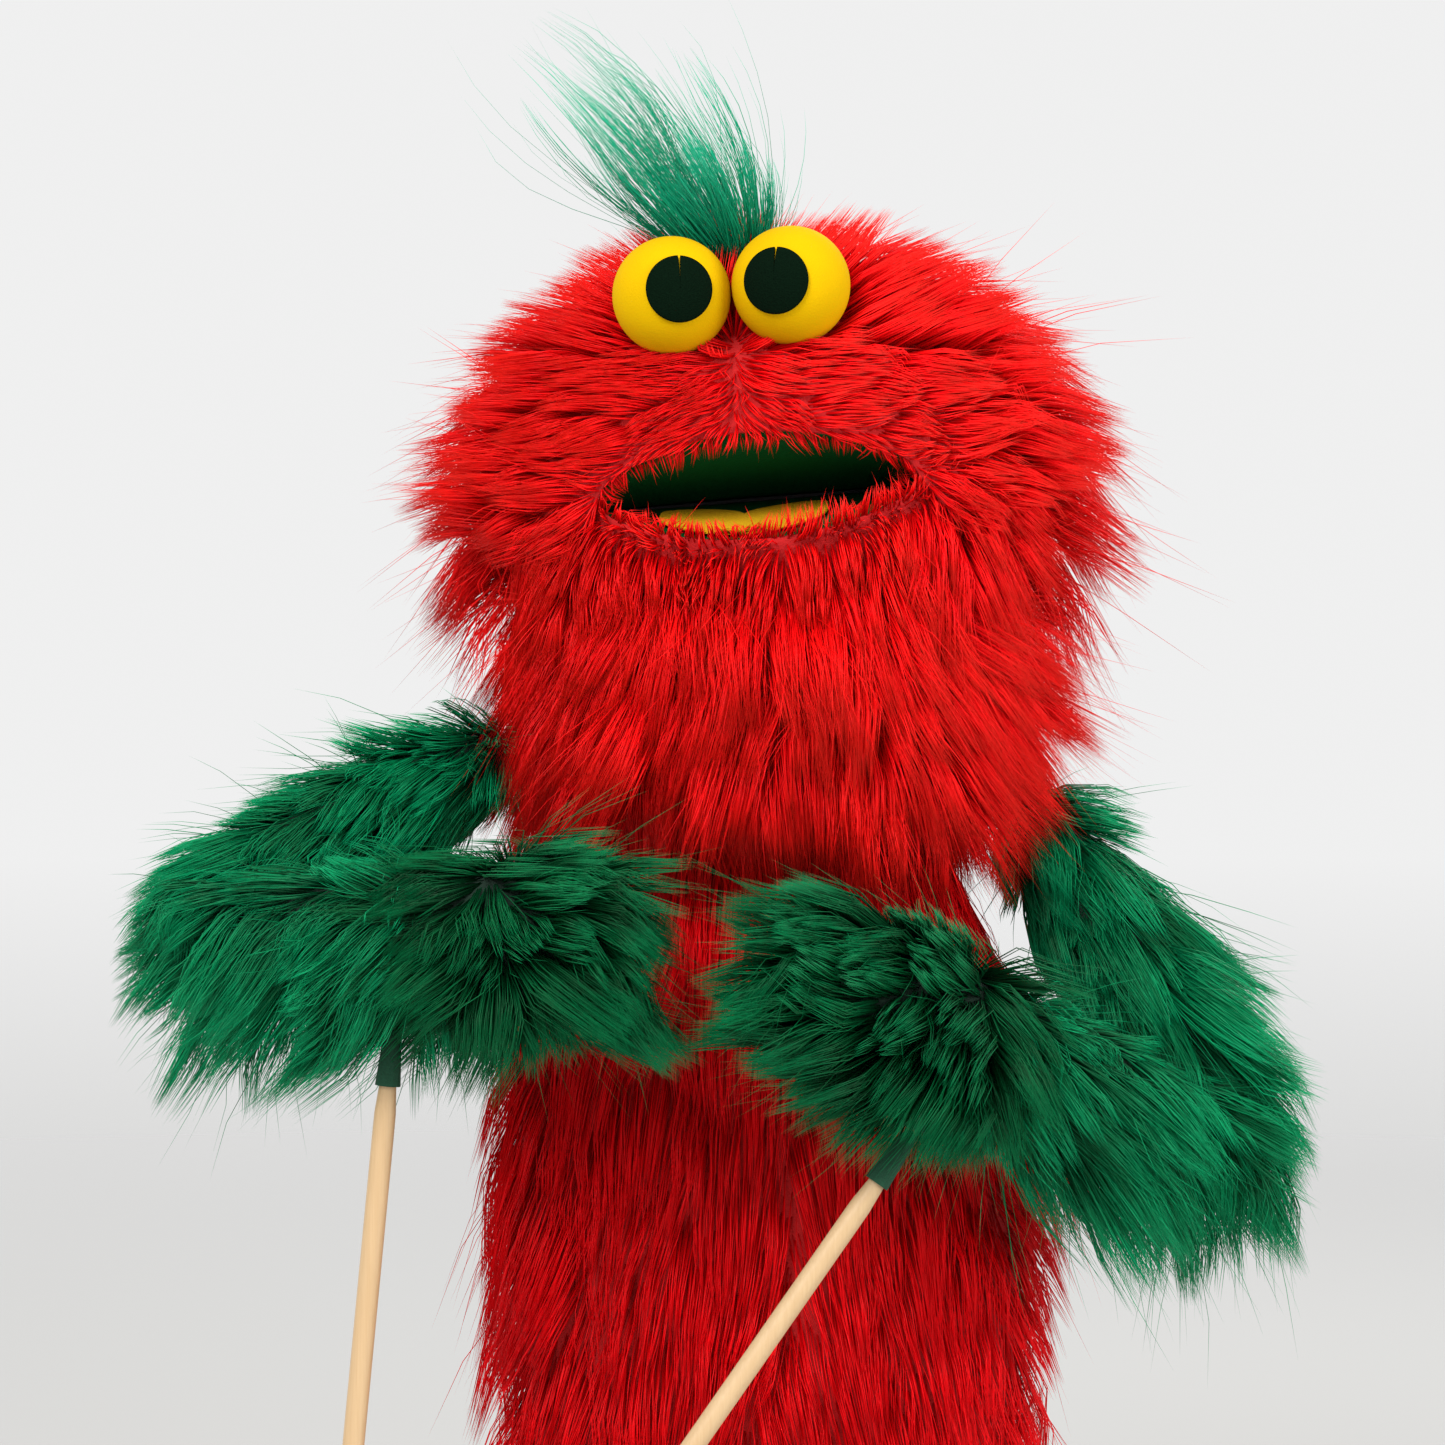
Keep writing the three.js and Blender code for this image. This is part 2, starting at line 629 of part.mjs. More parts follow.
function rod() {
  return revolve([
    [0, -ROD_LENGTH],
    [ROD_RADIUS, -ROD_LENGTH],
    [ROD_RADIUS, -ROD_TAPER],
    [ROD_TIP_RADIUS, 0],
    [0, 0],
  ]);
}

// A cloth cup, sewn under the arm, that the rod's point is pushed into.
function rodPocket() {
  const taper = (ROD_RADIUS - ROD_TIP_RADIUS) / ROD_TAPER;
  const radiusAt = (down) => ROD_TIP_RADIUS + taper * down + GAP;
  const rim = -POCKET.length;
  return revolve([
    [0, GAP],
    [radiusAt(0), GAP],
    [radiusAt(POCKET.length), rim],
    [radiusAt(POCKET.length) + POCKET.wall, rim],
    [POCKET.dome, 0],
    [POCKET.dome * 0.7, POCKET.dome * 0.7],
    [0, POCKET.dome],
  ]);
}

for (const { name, side, shoulderHeight, upper, fore, rodAt, rod: rodDirection } of ARMS) {
  const shoulder = new THREE.Vector3(side * SHOULDER_SIDE, 0, shoulderHeight);
  const upperDirection = upper.clone().normalize();
  const foreDirection = fore.clone().normalize();
  const elbow = shoulder.clone().addScaledVector(upperDirection, UPPER_ARM);
  // The elbow's seam lies across the plane that the arm folds in.
  const seam = new THREE.Vector3().crossVectors(upperDirection, foreDirection).normalize();

  // A cloth tab, sewn to the sleeve, that the arm swings on.
  const seamSide = along(bodyOutline, shoulderHeight - TAB.height / 2) + GAP;
  const tabEnd = SHOULDER_SIDE + TAB.past;
  const tabShape = new THREE.BoxGeometry(tabEnd - seamSide, TAB.thickness, TAB.height);
  tabShape.translate((side * (tabEnd + seamSide)) / 2, 0, shoulderHeight);
  add(puppet, `${name}_shoulder_tab`, tabShape, looks.greenCotton);

  const upperFrame = frameAt(shoulder, upperDirection, seam);
  puppet.add(upperFrame);
  add(upperFrame, `${name}_upper_arm_fur`, limbTube(upperArmStations, ARM_PILE), looks.greenFur);
  add(
    upperFrame,
    `${name}_upper_arm_stuffing`,
    limbCore(upperArmStations.slice(1, -1), ARM_PILE),
    looks.stuffing,
  );
  const thread = new THREE.CylinderGeometry(THREAD.radius, THREAD.radius, THREAD.length, 10)
    .rotateZ(Math.PI / 2)
    .translate(0, 0, UPPER_ARM);
  add(upperFrame, `${name}_elbow_stitching`, thread, looks.elastic);

  const foreFrame = frameAt(elbow, foreDirection, seam);
  puppet.add(foreFrame);
  add(foreFrame, `${name}_forearm_fur`, limbTube(forearmStations, ARM_PILE), looks.greenFur);
  add(
    foreFrame,
    `${name}_forearm_stuffing`,
    limbCore(forearmStations.slice(1), ARM_PILE),
    looks.stuffing,
  );
  add(foreFrame, `${name}_paw_fur`, pawFur().translate(0, 0, WRIST), looks.greenFur);
  add(foreFrame, `${name}_paw_stuffing`, pawStuffing().translate(0, 0, WRIST), looks.stuffing);

  // The rod hangs from a tab on the arm's underside, clear of the pile.
  const down = new THREE.Vector3(0, 0, -1);
  down.addScaledVector(foreDirection, -down.dot(foreDirection)).normalize();
  const tabFront = rodAt + ROD_TAB.length / 2;
  const reach =
    tabFront > WRIST
      ? along(pawWidths, tabFront - WRIST)
      : along(widths(forearmStations), tabFront);
  const root = elbow.clone().addScaledVector(foreDirection, rodAt);
  const rodTab = frameAt(
    root.clone().addScaledVector(down, reach + GAP + ROD_TAB.height / 2),
    foreDirection,
    down,
  );
  puppet.add(rodTab);
  const rodTabShape = new THREE.BoxGeometry(ROD_TAB.height, ROD_TAB.thickness, ROD_TAB.length);
  add(rodTab, `${name}_rod_tab`, rodTabShape, looks.greenCotton);

  const pivot = root.clone().addScaledVector(down, reach + ROD_TAB.height + POCKET.dome + 3 * GAP);
  const up = rodDirection.clone().normalize().negate();
  const rodFrame = frameAt(pivot, up, new THREE.Vector3().crossVectors(new THREE.Vector3(0, 1, 0), up));
  puppet.add(rodFrame);
  add(rodFrame, `${name}_arm_rod`, rod(), looks.wood);
  add(rodFrame, `${name}_rod_pocket`, rodPocket(), looks.greenCotton);
}

export default puppet;
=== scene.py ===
# A furry hand-and-rod puppet: a red fur sleeve worn on the forearm, a wide furry head with a moving mouth,
# green fur arms folded in front, and a wooden dowel under each paw.

import json
import math

import bmesh
import bpy
import numpy as np
from mathutils import Matrix, Vector
from mathutils.kdtree import KDTree


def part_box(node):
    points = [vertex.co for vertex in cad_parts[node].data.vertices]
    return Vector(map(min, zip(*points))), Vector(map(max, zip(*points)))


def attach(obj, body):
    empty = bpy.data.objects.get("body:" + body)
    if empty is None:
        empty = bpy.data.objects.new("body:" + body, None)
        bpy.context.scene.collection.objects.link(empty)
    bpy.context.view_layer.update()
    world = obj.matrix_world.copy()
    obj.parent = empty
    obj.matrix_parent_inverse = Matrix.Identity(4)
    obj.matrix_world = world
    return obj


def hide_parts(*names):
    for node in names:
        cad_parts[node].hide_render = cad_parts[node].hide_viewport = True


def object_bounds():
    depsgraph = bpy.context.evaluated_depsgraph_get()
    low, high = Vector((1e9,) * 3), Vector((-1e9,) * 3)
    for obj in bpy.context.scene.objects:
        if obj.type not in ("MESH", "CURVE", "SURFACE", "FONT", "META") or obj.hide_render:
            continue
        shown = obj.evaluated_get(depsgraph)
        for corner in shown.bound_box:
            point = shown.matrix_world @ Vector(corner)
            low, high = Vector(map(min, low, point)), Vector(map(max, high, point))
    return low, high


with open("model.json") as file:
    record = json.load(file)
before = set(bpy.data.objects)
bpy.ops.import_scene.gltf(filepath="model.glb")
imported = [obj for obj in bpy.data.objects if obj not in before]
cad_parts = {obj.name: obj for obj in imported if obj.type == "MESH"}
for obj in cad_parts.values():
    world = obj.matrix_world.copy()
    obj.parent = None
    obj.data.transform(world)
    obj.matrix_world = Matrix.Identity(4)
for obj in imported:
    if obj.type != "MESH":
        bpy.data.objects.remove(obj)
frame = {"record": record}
cad_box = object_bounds()

# ---- Studio ---------------------------------------------------------------------------------------
# The puppet is held up before a plain pale backdrop. A long lens looks at it level with the chin, the floor
# fades out behind, and three broad soft lamps stand above it, the strongest on its right.

camera_data = bpy.data.cameras.new("camera")
camera_data.lens = 96.4
camera_data.sensor_width = 36
camera_data.clip_end = 50
camera = bpy.data.objects.new("camera", camera_data)
camera.location = (-0.020, -1.700, 0.343)
camera.rotation_euler = (math.radians(90), 0, 0)
bpy.context.collection.objects.link(camera)
bpy.context.scene.camera = camera
bpy.context.scene.view_settings.view_transform = "Standard"


class Wire:
    """One socket of a material, so that a pattern is written as a sum."""

    def __init__(self, look, socket):
        self.look, self.socket = look, socket

    def math(self, operation, a, b):
        return self.look.node("ShaderNodeMath", {"operation": operation}, {0: a, 1: b})

    def __add__(self, b):
        return self.math("ADD", self, b)

    def __radd__(self, a):
        return self.math("ADD", a, self)

    def __mul__(self, b):
        return self.math("MULTIPLY", self, b)

    def __pow__(self, b):
        return self.math("POWER", self, b)


class Look:
    """A material whose nodes are made by one call each. fixed holds what is the same all over the surface."""

    def __init__(self, name, roughness=0.8, **fixed):
        self.material = bpy.data.materials.new(name)
        self.material.use_nodes = True
        self.tree = self.material.node_tree
        self.surface = self.tree.nodes["Principled BSDF"]
        self.surface.inputs["Roughness"].default_value = roughness
        for socket, value in fixed.items():
            self.surface.inputs[socket.replace("_", " ")].default_value = value

    def node(self, kind, settings=None, sockets=None, out=0):
        made = self.tree.nodes.new(kind)
        for key, value in (settings or {}).items():
            setattr(made, key, value)
        for key, value in (sockets or {}).items():
            if isinstance(value, Wire):
                self.tree.links.new(value.socket, made.inputs[key])
            else:
                made.inputs[key].default_value = value
        return Wire(self, made.outputs[out])

    def wear(self, **sockets):
        for socket, wire in sockets.items():
            self.tree.links.new(wire.socket, self.surface.inputs[socket.replace("_", " ")])
        return self

    def place(self):
        return self.node("ShaderNodeTexCoord", out="Object")

    def noise(self, scale, detail=3, stretch=(1, 1, 1)):
        at = self.node("ShaderNodeMapping", {}, {"Vector": self.place(), "Scale": stretch})
        return self.node("ShaderNodeTexNoise", {}, {"Vector": at, "Scale": scale, "Detail": detail})

    def mix(self, share, a, b):
        sides = {6: a if isinstance(a, Wire) else (*a, 1), 7: b if isinstance(b, Wire) else (*b, 1)}
        return self.node("ShaderNodeMix", {"data_type": "RGBA"}, {0: share, **sides}, out=2)

    def bump(self, height, distance, strength=1.0):
        sockets = {"Height": height, "Distance": distance, "Strength": strength}
        return self.node("ShaderNodeBump", {}, sockets)


def put_on(piece, look):
    piece.data.materials.clear()
    piece.data.materials.append(look.material)


FLOOR_HEIGHT = -0.192  # just under the ends of the rods
bpy.ops.object.select_all(action="DESELECT")
bpy.ops.mesh.primitive_circle_add(vertices=96, radius=14, fill_type="NGON", location=(0, 0, FLOOR_HEIGHT))
floor = bpy.context.object
floor.name = "floor"
floor_look = Look("pale_floor", roughness=0.9)
floor_look.surface.inputs["Base Color"].default_value = (0.49, 0.485, 0.47, 1)
floor_x = floor_look.node("ShaderNodeSeparateXYZ", {}, {0: floor_look.place()})
floor_y = Wire(floor_look, floor_x.socket.node.outputs[1])
nearness = (1.7 + (floor_x**2 + floor_y**2) ** 0.5) ** -1
shown = floor_look.node("ShaderNodeMapRange", {}, {0: nearness, 1: 0.065, 2: 0.40, 3: 0.0, 4: 1.0})
floor_look.wear(Alpha=shown)
put_on(floor, floor_look)

world = bpy.data.worlds.new("studio")
bpy.context.scene.world = world
world.use_nodes = True
sky = world.node_tree.nodes["Background"]
sky.inputs["Color"].default_value = (0.868, 0.868, 0.868, 1)
sky.inputs["Strength"].default_value = 1.0


def softbox(name, place, watts):
    """A round lamp aimed at the middle of the puppet."""
    aim = (0, 0, 0.35)
    lamp_data = bpy.data.lights.new(name, "AREA")
    lamp_data.shape = "DISK"
    lamp_data.size = 1.1
    lamp_data.energy = watts
    lamp = bpy.data.objects.new(name, lamp_data)
    lamp.location = place
    lamp.rotation_euler = (Vector(aim) - Vector(place)).to_track_quat("-Z", "Y").to_euler()
    bpy.context.collection.objects.link(lamp)


softbox("key_lamp", (-0.8, -1.7, 1.7), 47)
softbox("fill_lamp", (1.7, -1.3, 0.9), 27)
softbox("back_lamp", (0.6, 1.9, 1.5), 14)

# ---- Head skin ------------------------------------------------------------------------------------
# The head is fur fabric, a knitted backing with a long synthetic pile. It is glued over a foam skull, from
# the upper lip over the crown to the nape, and comes down over the mouth's corners as cheeks.

joints = {joint["name"]: joint for joint in frame["record"]["behaviour"]["joints"]}
ROOM = [0.03 * (high - low) + 0.008 for low, high in zip(*cad_box)]  # how far pile stands past the solids
LOWEST = np.array(cad_box[0]) - ROOM
HIGHEST = np.array(cad_box[1]) + ROOM
SMALL_LOCK = 13  # strands in a small lock
WIDE_LOCK = 120  # strands in a wide lock
MOST_TRIANGLES = 190000  # in one piece of a coat


def unit(v):
    return v / np.maximum(np.linalg.norm(v, axis=-1, keepdims=True), 1e-9)


def scatter(skin, count, random):
    """Random places on a skin, with the direction it faces there."""
    mesh = skin.data
    points = np.empty(len(mesh.vertices) * 3)
    mesh.vertices.foreach_get("co", points)
    normals = np.empty(len(mesh.vertices) * 3)
    mesh.vertices.foreach_get("normal", normals)
    points, normals = points.reshape(-1, 3), normals.reshape(-1, 3)
    faces = [list(polygon.vertices) for polygon in mesh.polygons]
    starts = [face.index(min(face)) for face in faces]
    faces = sorted(face[start:] + face[:start] for face, start in zip(faces, starts))
    corners = np.array([(face[0], face[i], face[i + 1]) for face in faces for i in range(1, len(face) - 1)])
    a, b, c = (points[corners[:, i]] for i in range(3))
    area = np.linalg.norm(np.cross(b - a, c - a), axis=1)
    chosen = random.choice(len(corners), count, p=area / area.sum())
    s, t = random.random(count), random.random(count)
    over = s + t > 1
    s[over], t[over] = 1 - s[over], 1 - t[over]
    share = np.stack([1 - s - t, s, t], axis=1)[:, :, None]
    place = (points[corners[chosen]] * share).sum(axis=1)
    facing = unit((normals[corners[chosen]] * share).sum(axis=1))
    return place, facing


def lock_centres(places, facing, how_many, random):
    """Picks some strands as the middles of locks, and says which is nearest to every strand."""
    centres = random.choice(len(places), max(how_many, 1), replace=False)
    tree = KDTree(len(centres))
    for i, centre in enumerate(centres):
        tree.insert(places[centre] + 0.01 * facing[centre], i)
    tree.balance()
    return centres, np.array([tree.find(place)[1] for place in places + 0.01 * facing])


def grow(
    name,
    skin,
    count,
    comb,
    length,
    look,
    body,
    seed,
    width=0.0007,
    rings=2,
    rise=0.75,
    gather=(0.4, 0.3),
    stray=0.3,
    wave=0.05,
    ragged=0.25,
    loose=0.06,
    wisps=None,
    keep=None,
):
    """Grows a coat on a skin. comb says which way the pile lies, and length how long it is.

    Both are functions of the places and of the way the skin faces there. Fine strands gather towards the
    tips of small locks, and those towards the tips of wide ones. gather says how strongly, stray how far
    locks turn from the comb, and rise how steeply a strand leaves the backing. Each strand is a closed,
    tapered thread of three sides.
    """
    random = np.random.default_rng(seed)
    root, facing = scatter(skin, count, random)
    if keep is not None:
        kept = keep(root, facing)
        root, facing = root[kept], facing[kept]
    count = len(root)
    small_centres, small = lock_centres(root, facing, count // SMALL_LOCK, random)
    wide_centres, wide = lock_centres(root, facing, count // WIDE_LOCK, random)

    def by_lock(low, high, shares):
        values = [random.uniform(low, high, len(c)) for c in (wide_centres, small_centres)]
        own = random.uniform(low, high, count)
        return shares[0] * values[0][wide] + shares[1] * values[1][small] + shares[2] * own

    wild = np.ones(count) if wisps is None else wisps(root, facing)
    free = random.random(count) < loose * wild
    drift = np.stack([by_lock(-1.7, 1.7, (0.75, 0.55, 0.35)) for _ in range(3)], axis=1)
    way = unit(comb(root, facing) + stray * drift * (wild * (1 + 0.8 * free))[:, None])
    long = length(root, facing) * (0.9 + ragged * wild * by_lock(-1, 1, (0.7, 0.5, 0.4))) * (1 + 0.3 * free)
    side = unit(np.cross(facing, way))
    sway = wave * by_lock(-3, 3, (0.5, 0.4, 0.3))
    hold = ((1 - 0.85 * free) * (0.45 + 0.55 * wild))[:, None]

    def strand(t):
        first = unit(rise * facing + way)
        ahead = (t - t * t / 2) * first + (t * t / 2) * way
        own = root + long[:, None] * (ahead + (sway * math.sin(2.4 * t) * t)[:, None] * side)
        own = own + gather[0] * t**1.3 * hold * (own[small_centres[small]] - own)
        return own + gather[1] * t**1.6 * hold * (own[wide_centres[wide]] - own)

    stops = np.linspace(0, 1, rings + 1) ** 0.9
    line = np.stack([strand(t) for t in stops], axis=1)
    reach = line - root[:, None]
    over = np.maximum(line - HIGHEST, LOWEST - line) / np.maximum(np.abs(reach), 1e-6)
    over = np.clip(over.max(axis=(1, 2)), 0, 0.95)
    over = over + (over > 0) * random.uniform(0, 0.22, count) * (1 - over)
    line = root[:, None] + reach * (1 - over)[:, None, None]
    thick = width * random.uniform(0.75, 1.25, count) * (1 - 0.35 * free)
    vertices = np.empty((count, 3 * rings + 1, 3))
    for i in range(rings):
        along = unit(line[:, i + 1] - line[:, max(i - 1, 0)])
        across = unit(np.cross(along, facing) + 1e-6)
        other = np.cross(along, across)
        half = (thick / 2 * (1 - stops[i]) ** 0.5)[:, None]
        for k in range(3):
            turn = 2 * math.pi * k / 3
            vertices[:, 3 * i + k] = line[:, i] + half * (math.cos(turn) * across + math.sin(turn) * other)
    vertices[:, 3 * rings] = line[:, rings]

    faces, marks = [], []
    for i in range(rings - 1):
        for k in range(3):
            j = (k + 1) % 3
            faces.append([3 * i + k, 3 * i + j, 3 * i + 3 + j, 3 * i + 3 + k])
            low, high = stops[i], stops[i + 1]
            marks.append([(k, low), (k + 1, low), (k + 1, high), (k, high)])
    last = 3 * (rings - 1)
    for k in range(3):
        faces.append([last + k, last + (k + 1) % 3, 3 * rings])
        marks.append([(k, stops[rings - 1]), (k + 1, stops[rings - 1]), (k + 0.5, 1)])
    faces.append([2, 1, 0])
    marks.append([(0, 0), (1.5, 0.02), (3, 0)])

    shade = np.clip(0.5 + 1.3 * by_lock(-0.5, 0.5, (0.4, 0.4, 0.4)), 0, 1)
    most = MOST_TRIANGLES // (6 * (rings - 1) + 4)
    for part in range(math.ceil(count / most)):
        chosen = slice(part * most, (part + 1) * most)
        coat = thread_mesh(f"{name}_{part + 1}", vertices[chosen], faces, marks, shade[chosen])
        put_on(coat, look)
        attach(coat, body)


def thread_mesh(name, vertices, faces, marks, shade):
    """Makes one mesh of many threads. Its UV map holds a thread's tone, and how far along it a place is."""
    count, per = vertices.shape[:2]
    sizes = np.array([len(face) for face in faces])
    corner = np.concatenate([np.array(face) for face in faces])
    corners = (corner[None, :] + per * np.arange(count)[:, None]).ravel()
    starts = np.concatenate([[0], np.cumsum(sizes)[:-1]])
    starts = (starts[None, :] + sizes.sum() * np.arange(count)[:, None]).ravel()
    mesh = bpy.data.meshes.new(name)
    mesh.vertices.add(count * per)
    mesh.vertices.foreach_set("co", vertices.ravel())
    mesh.loops.add(len(corners))
    mesh.loops.foreach_set("vertex_index", corners)
    mesh.polygons.add(len(starts))
    mesh.polygons.foreach_set("loop_start", starts)
    mesh.update(calc_edges=True)
    mesh.shade_smooth()
    mark = np.array([pair for face in marks for pair in face])
    across = 0.01 + 0.97 * shade[:, None] + 0.003 * mark[None, :, 0]
    layer = mesh.uv_layers.new(name="OFBake")
    uv = np.stack([across, np.broadcast_to(mark[None, :, 1], across.shape)], axis=2)
    layer.data.foreach_set("uv", uv.ravel())
    piece = bpy.data.objects.new(name, mesh)
    bpy.context.collection.objects.link(piece)
    return piece


def fur_look(name, root, dark, light, tip, roughness=0.45):
    """A pile's colour: dark at the roots as painted shade deep in the pile, lighter to the tips as a painted
    highlight on the pile's outside, and a little different from lock to lock.
    """
    look = Look(
        name,
        roughness,
        Specular_IOR_Level=0.14,
        Sheen_Weight=0.35,
        Sheen_Roughness=0.4,
        Sheen_Tint=(*light, 1),
    )
    where = look.node("ShaderNodeUVMap", {"uv_map": "OFBake"})
    tone = look.node("ShaderNodeSeparateXYZ", {}, {0: where})
    up = Wire(look, tone.socket.node.outputs[1])
    # low fades the painted shade of the roots out along a strand, and high fades in the painted highlight of
    # the tips.
    low = look.node("ShaderNodeMapRange", {}, {0: up, 1: 0.0, 2: 0.45, 3: 0.0, 4: 1.0})
    high = look.node("ShaderNodeMapRange", {}, {0: up, 1: 0.6, 2: 1.0, 3: 0.0, 4: 1.0})
    return look.wear(Base_Color=look.mix(high, look.mix(low, root, look.mix(tone, dark, light)), tip))


def backing_look(name, dark, light):
    """The knitted backing at the foot of the pile, with the bumps of its loops."""
    look = Look(name, roughness=0.95)
    knit = look.noise(900, detail=2)
    return look.wear(
        Base_Color=look.mix(knit, dark, light),
        Normal=look.bump(knit, 0.0006),
    )


# root is painted shade deep in the pile, and tip is a painted highlight on the outer ends.
red_fur = fur_look(
    "red_fur",
    root=(0.58, 0, 0.002),
    dark=(0.80, 0, 0.003),
    light=(0.95, 0.007, 0.006),
    tip=(0.96, 0.025, 0.012),
)
red_backing = backing_look("red_backing", (0.35, 0.001, 0.002), (0.50, 0.002, 0.003))

HINGE = Vector(joints["jaw_open"]["pos_m"])
ACROSS = Vector(joints["jaw_open"]["axis"]).normalized()
UP = (Vector((0, 0, 1)) - ACROSS * ACROSS.z).normalized()
BACK = UP.cross(ACROSS)
HEAD = Matrix((ACROSS, BACK, UP)).transposed().to_4x4()
HEAD.translation = HINGE
HEAD_TURN = np.array(HEAD.to_3x3())
HEAD_HOME = np.array(HINGE)

BACKING = 0.0016  # thickness of the knitted backing
MOUTH_ANGLE = 14  # degrees that each lip stands off the mouth's middle line
MOUTH_HALF_WIDTH = 0.069
SKIN_HALF_WIDTH = 0.1135
SKIN_RADIUS = 0.0955
NAPE_ANGLE = 236  # degrees from the mouth's middle, over the crown


def in_head(places):
    """Places as the head has them: across it, backwards and up, from the mouth's hinge."""
    return (places - HEAD_HOME) @ HEAD_TURN


def from_head(ways):
    return ways @ HEAD_TURN.T


def mouth_line(x):
    """How far the lip stands off the mouth's middle line, from 1 at the middle to 0 at the corners."""
    return math.sqrt(max(0.0, 1 - (x / MOUTH_HALF_WIDTH) ** 2))


def band(name, half_width, radius, first, last, columns, rows):
    """A sheet over a spheroid about the hinge, from one angle to another. The angles may change along x."""
    bpy.ops.object.select_all(action="DESELECT")
    bpy.ops.mesh.primitive_grid_add(x_subdivisions=columns, y_subdivisions=rows, size=2)
    piece = bpy.context.object
    piece.name = name
    for vertex in piece.data.vertices:
        u, v = vertex.co.x, (vertex.co.y + 1) / 2
        x = half_width * math.sin(u * math.pi / 2)
        angle = math.radians(first(x) + (last(x) - first(x)) * v)
        reach = radius * math.sqrt(max(0.0, 1 - (x / half_width) ** 2))
        vertex.co = (x, -reach * math.cos(angle), reach * math.sin(angle))
    return finish_sheet(piece, BACKING, HEAD)


def finish_sheet(piece, thickness, home=None):
    """Gives a sheet its thickness inwards, smooths it and puts it in place."""
    bpy.ops.object.select_all(action="DESELECT")
    piece.select_set(True)
    bpy.context.view_layer.objects.active = piece
    bpy.ops.object.mode_set(mode="EDIT")
    bpy.ops.mesh.select_all(action="SELECT")
    bpy.ops.mesh.remove_doubles(threshold=0.00002)
    bpy.ops.mesh.normals_make_consistent(inside=False)
    bpy.ops.object.mode_set(mode="OBJECT")
    if thickness:
        wall = piece.modifiers.new("wall", "SOLIDIFY")
        wall.thickness = thickness
        wall.offset = -1
        bpy.ops.object.modifier_apply(modifier="wall")
    bpy.ops.object.shade_smooth()
    if home is not None:
        piece.data.transform(home)
    bpy.ops.object.transform_apply(location=True, rotation=True, scale=True)
    return piece


def upper_edge(x):
    corner = min(max((abs(x) - MOUTH_HALF_WIDTH) / 0.014, 0), 1)
    return MOUTH_ANGLE * mouth_line(x) - 17 * corner


head_skin = band("head_skin", SKIN_HALF_WIDTH, SKIN_RADIUS, upper_edge, lambda x: NAPE_ANGLE, 72, 72)
put_on(head_skin, red_backing)
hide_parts("head_fur")
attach(head_skin, "head")

EYES = {}
for side in ("left", "right"):
    low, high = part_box(f"{side}_eye")
    EYES[side] = in_head(np.array([[(low[i] + high[i]) / 2 for i in range(3)]]))[0]
EYE_RADIUS = (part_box("left_eye")[1][2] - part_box("left_eye")[0][2]) / 2
FACE_MIDDLE = (EYES["left"] + EYES["right"]) / 2


def lie_down(way, out, lift):
    """Turns a direction that would go into the skin along it, and lifts it a little."""
    way = unit(way)
    inward = np.minimum((way * out).sum(axis=1), 0)[:, None]
    return unit(way - inward * out + lift * out)


def from_mouth(at):
    """How far a place is from the mouth's opening, seen from the front."""
    aside = np.maximum(np.abs(at[:, 0]) - 0.045, 0)
    return np.hypot(aside, np.abs(at[:, 2])) - 0.018 + 0.2 * (at[:, 1] > 0)


def head_comb(places, facing):
    at, out = in_head(places), facing @ HEAD_TURN
    x = at[:, 0] - FACE_MIDDLE[0]
    z = at[:, 2] - 0.058
    front = np.stack([0.25 * np.tanh(x / 0.012) + 10 * x, 0 * x, np.where(z > 0, 17, 5) * z - 0.06], axis=1)
    behind = np.stack([2 * x, 0.35 + 0 * x, -0.75 + 2.0 * z], axis=1)
    share = np.clip(0.5 + 1.1 * out[:, 1], 0, 1)[:, None]
    return from_head(lie_down((1 - share) * unit(front) + share * unit(behind), out, 0.10))


def head_long(places, facing):
    at = in_head(places)
    aside = np.clip(np.abs(at[:, 0] - FACE_MIDDLE[0]) / 0.11, 0, 1)
    crown = np.clip((at[:, 2] - 0.04) / 0.05, 0, 1)
    far = np.clip(from_mouth(at) / 0.05, 0, 1)
    low = np.clip((0.022 - at[:, 2]) / 0.035, 0, 1) * np.where(at[:, 1] < 0, 1, 0.35)
    behind = at[:, 1] > 0
    nape = np.clip(-at[:, 2] / 0.05, 0, 1) * behind
    long = 0.024 + (0.032 - 0.032 * low) * aside + 0.016 * crown + 0.016 * behind + 0.034 * nape
    return 0.012 + (long - 0.012) * far


def head_wisps(places, facing):
    at = in_head(places)
    return np.clip((np.hypot(at[:, 0] - FACE_MIDDLE[0], at[:, 2] - 0.05) - 0.03) / 0.06, 0.25, 1)


def clear_of_eyes(places, facing):
    at = in_head(places)
    near = np.min([np.linalg.norm(at - EYES[side], axis=1) for side in EYES], axis=0)
    return near > EYE_RADIUS * 1.02


grow(
    "head_coat", head_skin, 48000, head_comb, head_long, red_fur, "head", 11,
    width=0.0008, gather=(0.35, 0.45), stray=0.20, ragged=0.3, wisps=head_wisps, keep=clear_of_eyes,
)

# ---- Jaw skin -------------------------------------------------------------------------------------
# The chin is the same fur over a foam wedge. Its edge tucks up under the cheeks, so that the corners stay
# covered as the mouth opens.

JAW_SKIN_HALF_WIDTH = 0.1055
JAW_SKIN_RADIUS = 0.0895
CHIN_ANGLE = -72


def lower_edge(x):
    corner = min(max((abs(x) - MOUTH_HALF_WIDTH) / 0.02, 0), 1)
    return -MOUTH_ANGLE * mouth_line(x) + 8 * corner


jaw_skin = band("jaw_skin", JAW_SKIN_HALF_WIDTH, JAW_SKIN_RADIUS, lambda x: CHIN_ANGLE, lower_edge, 64, 30)
put_on(jaw_skin, red_backing)
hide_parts("jaw_fur")
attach(jaw_skin, "jaw")


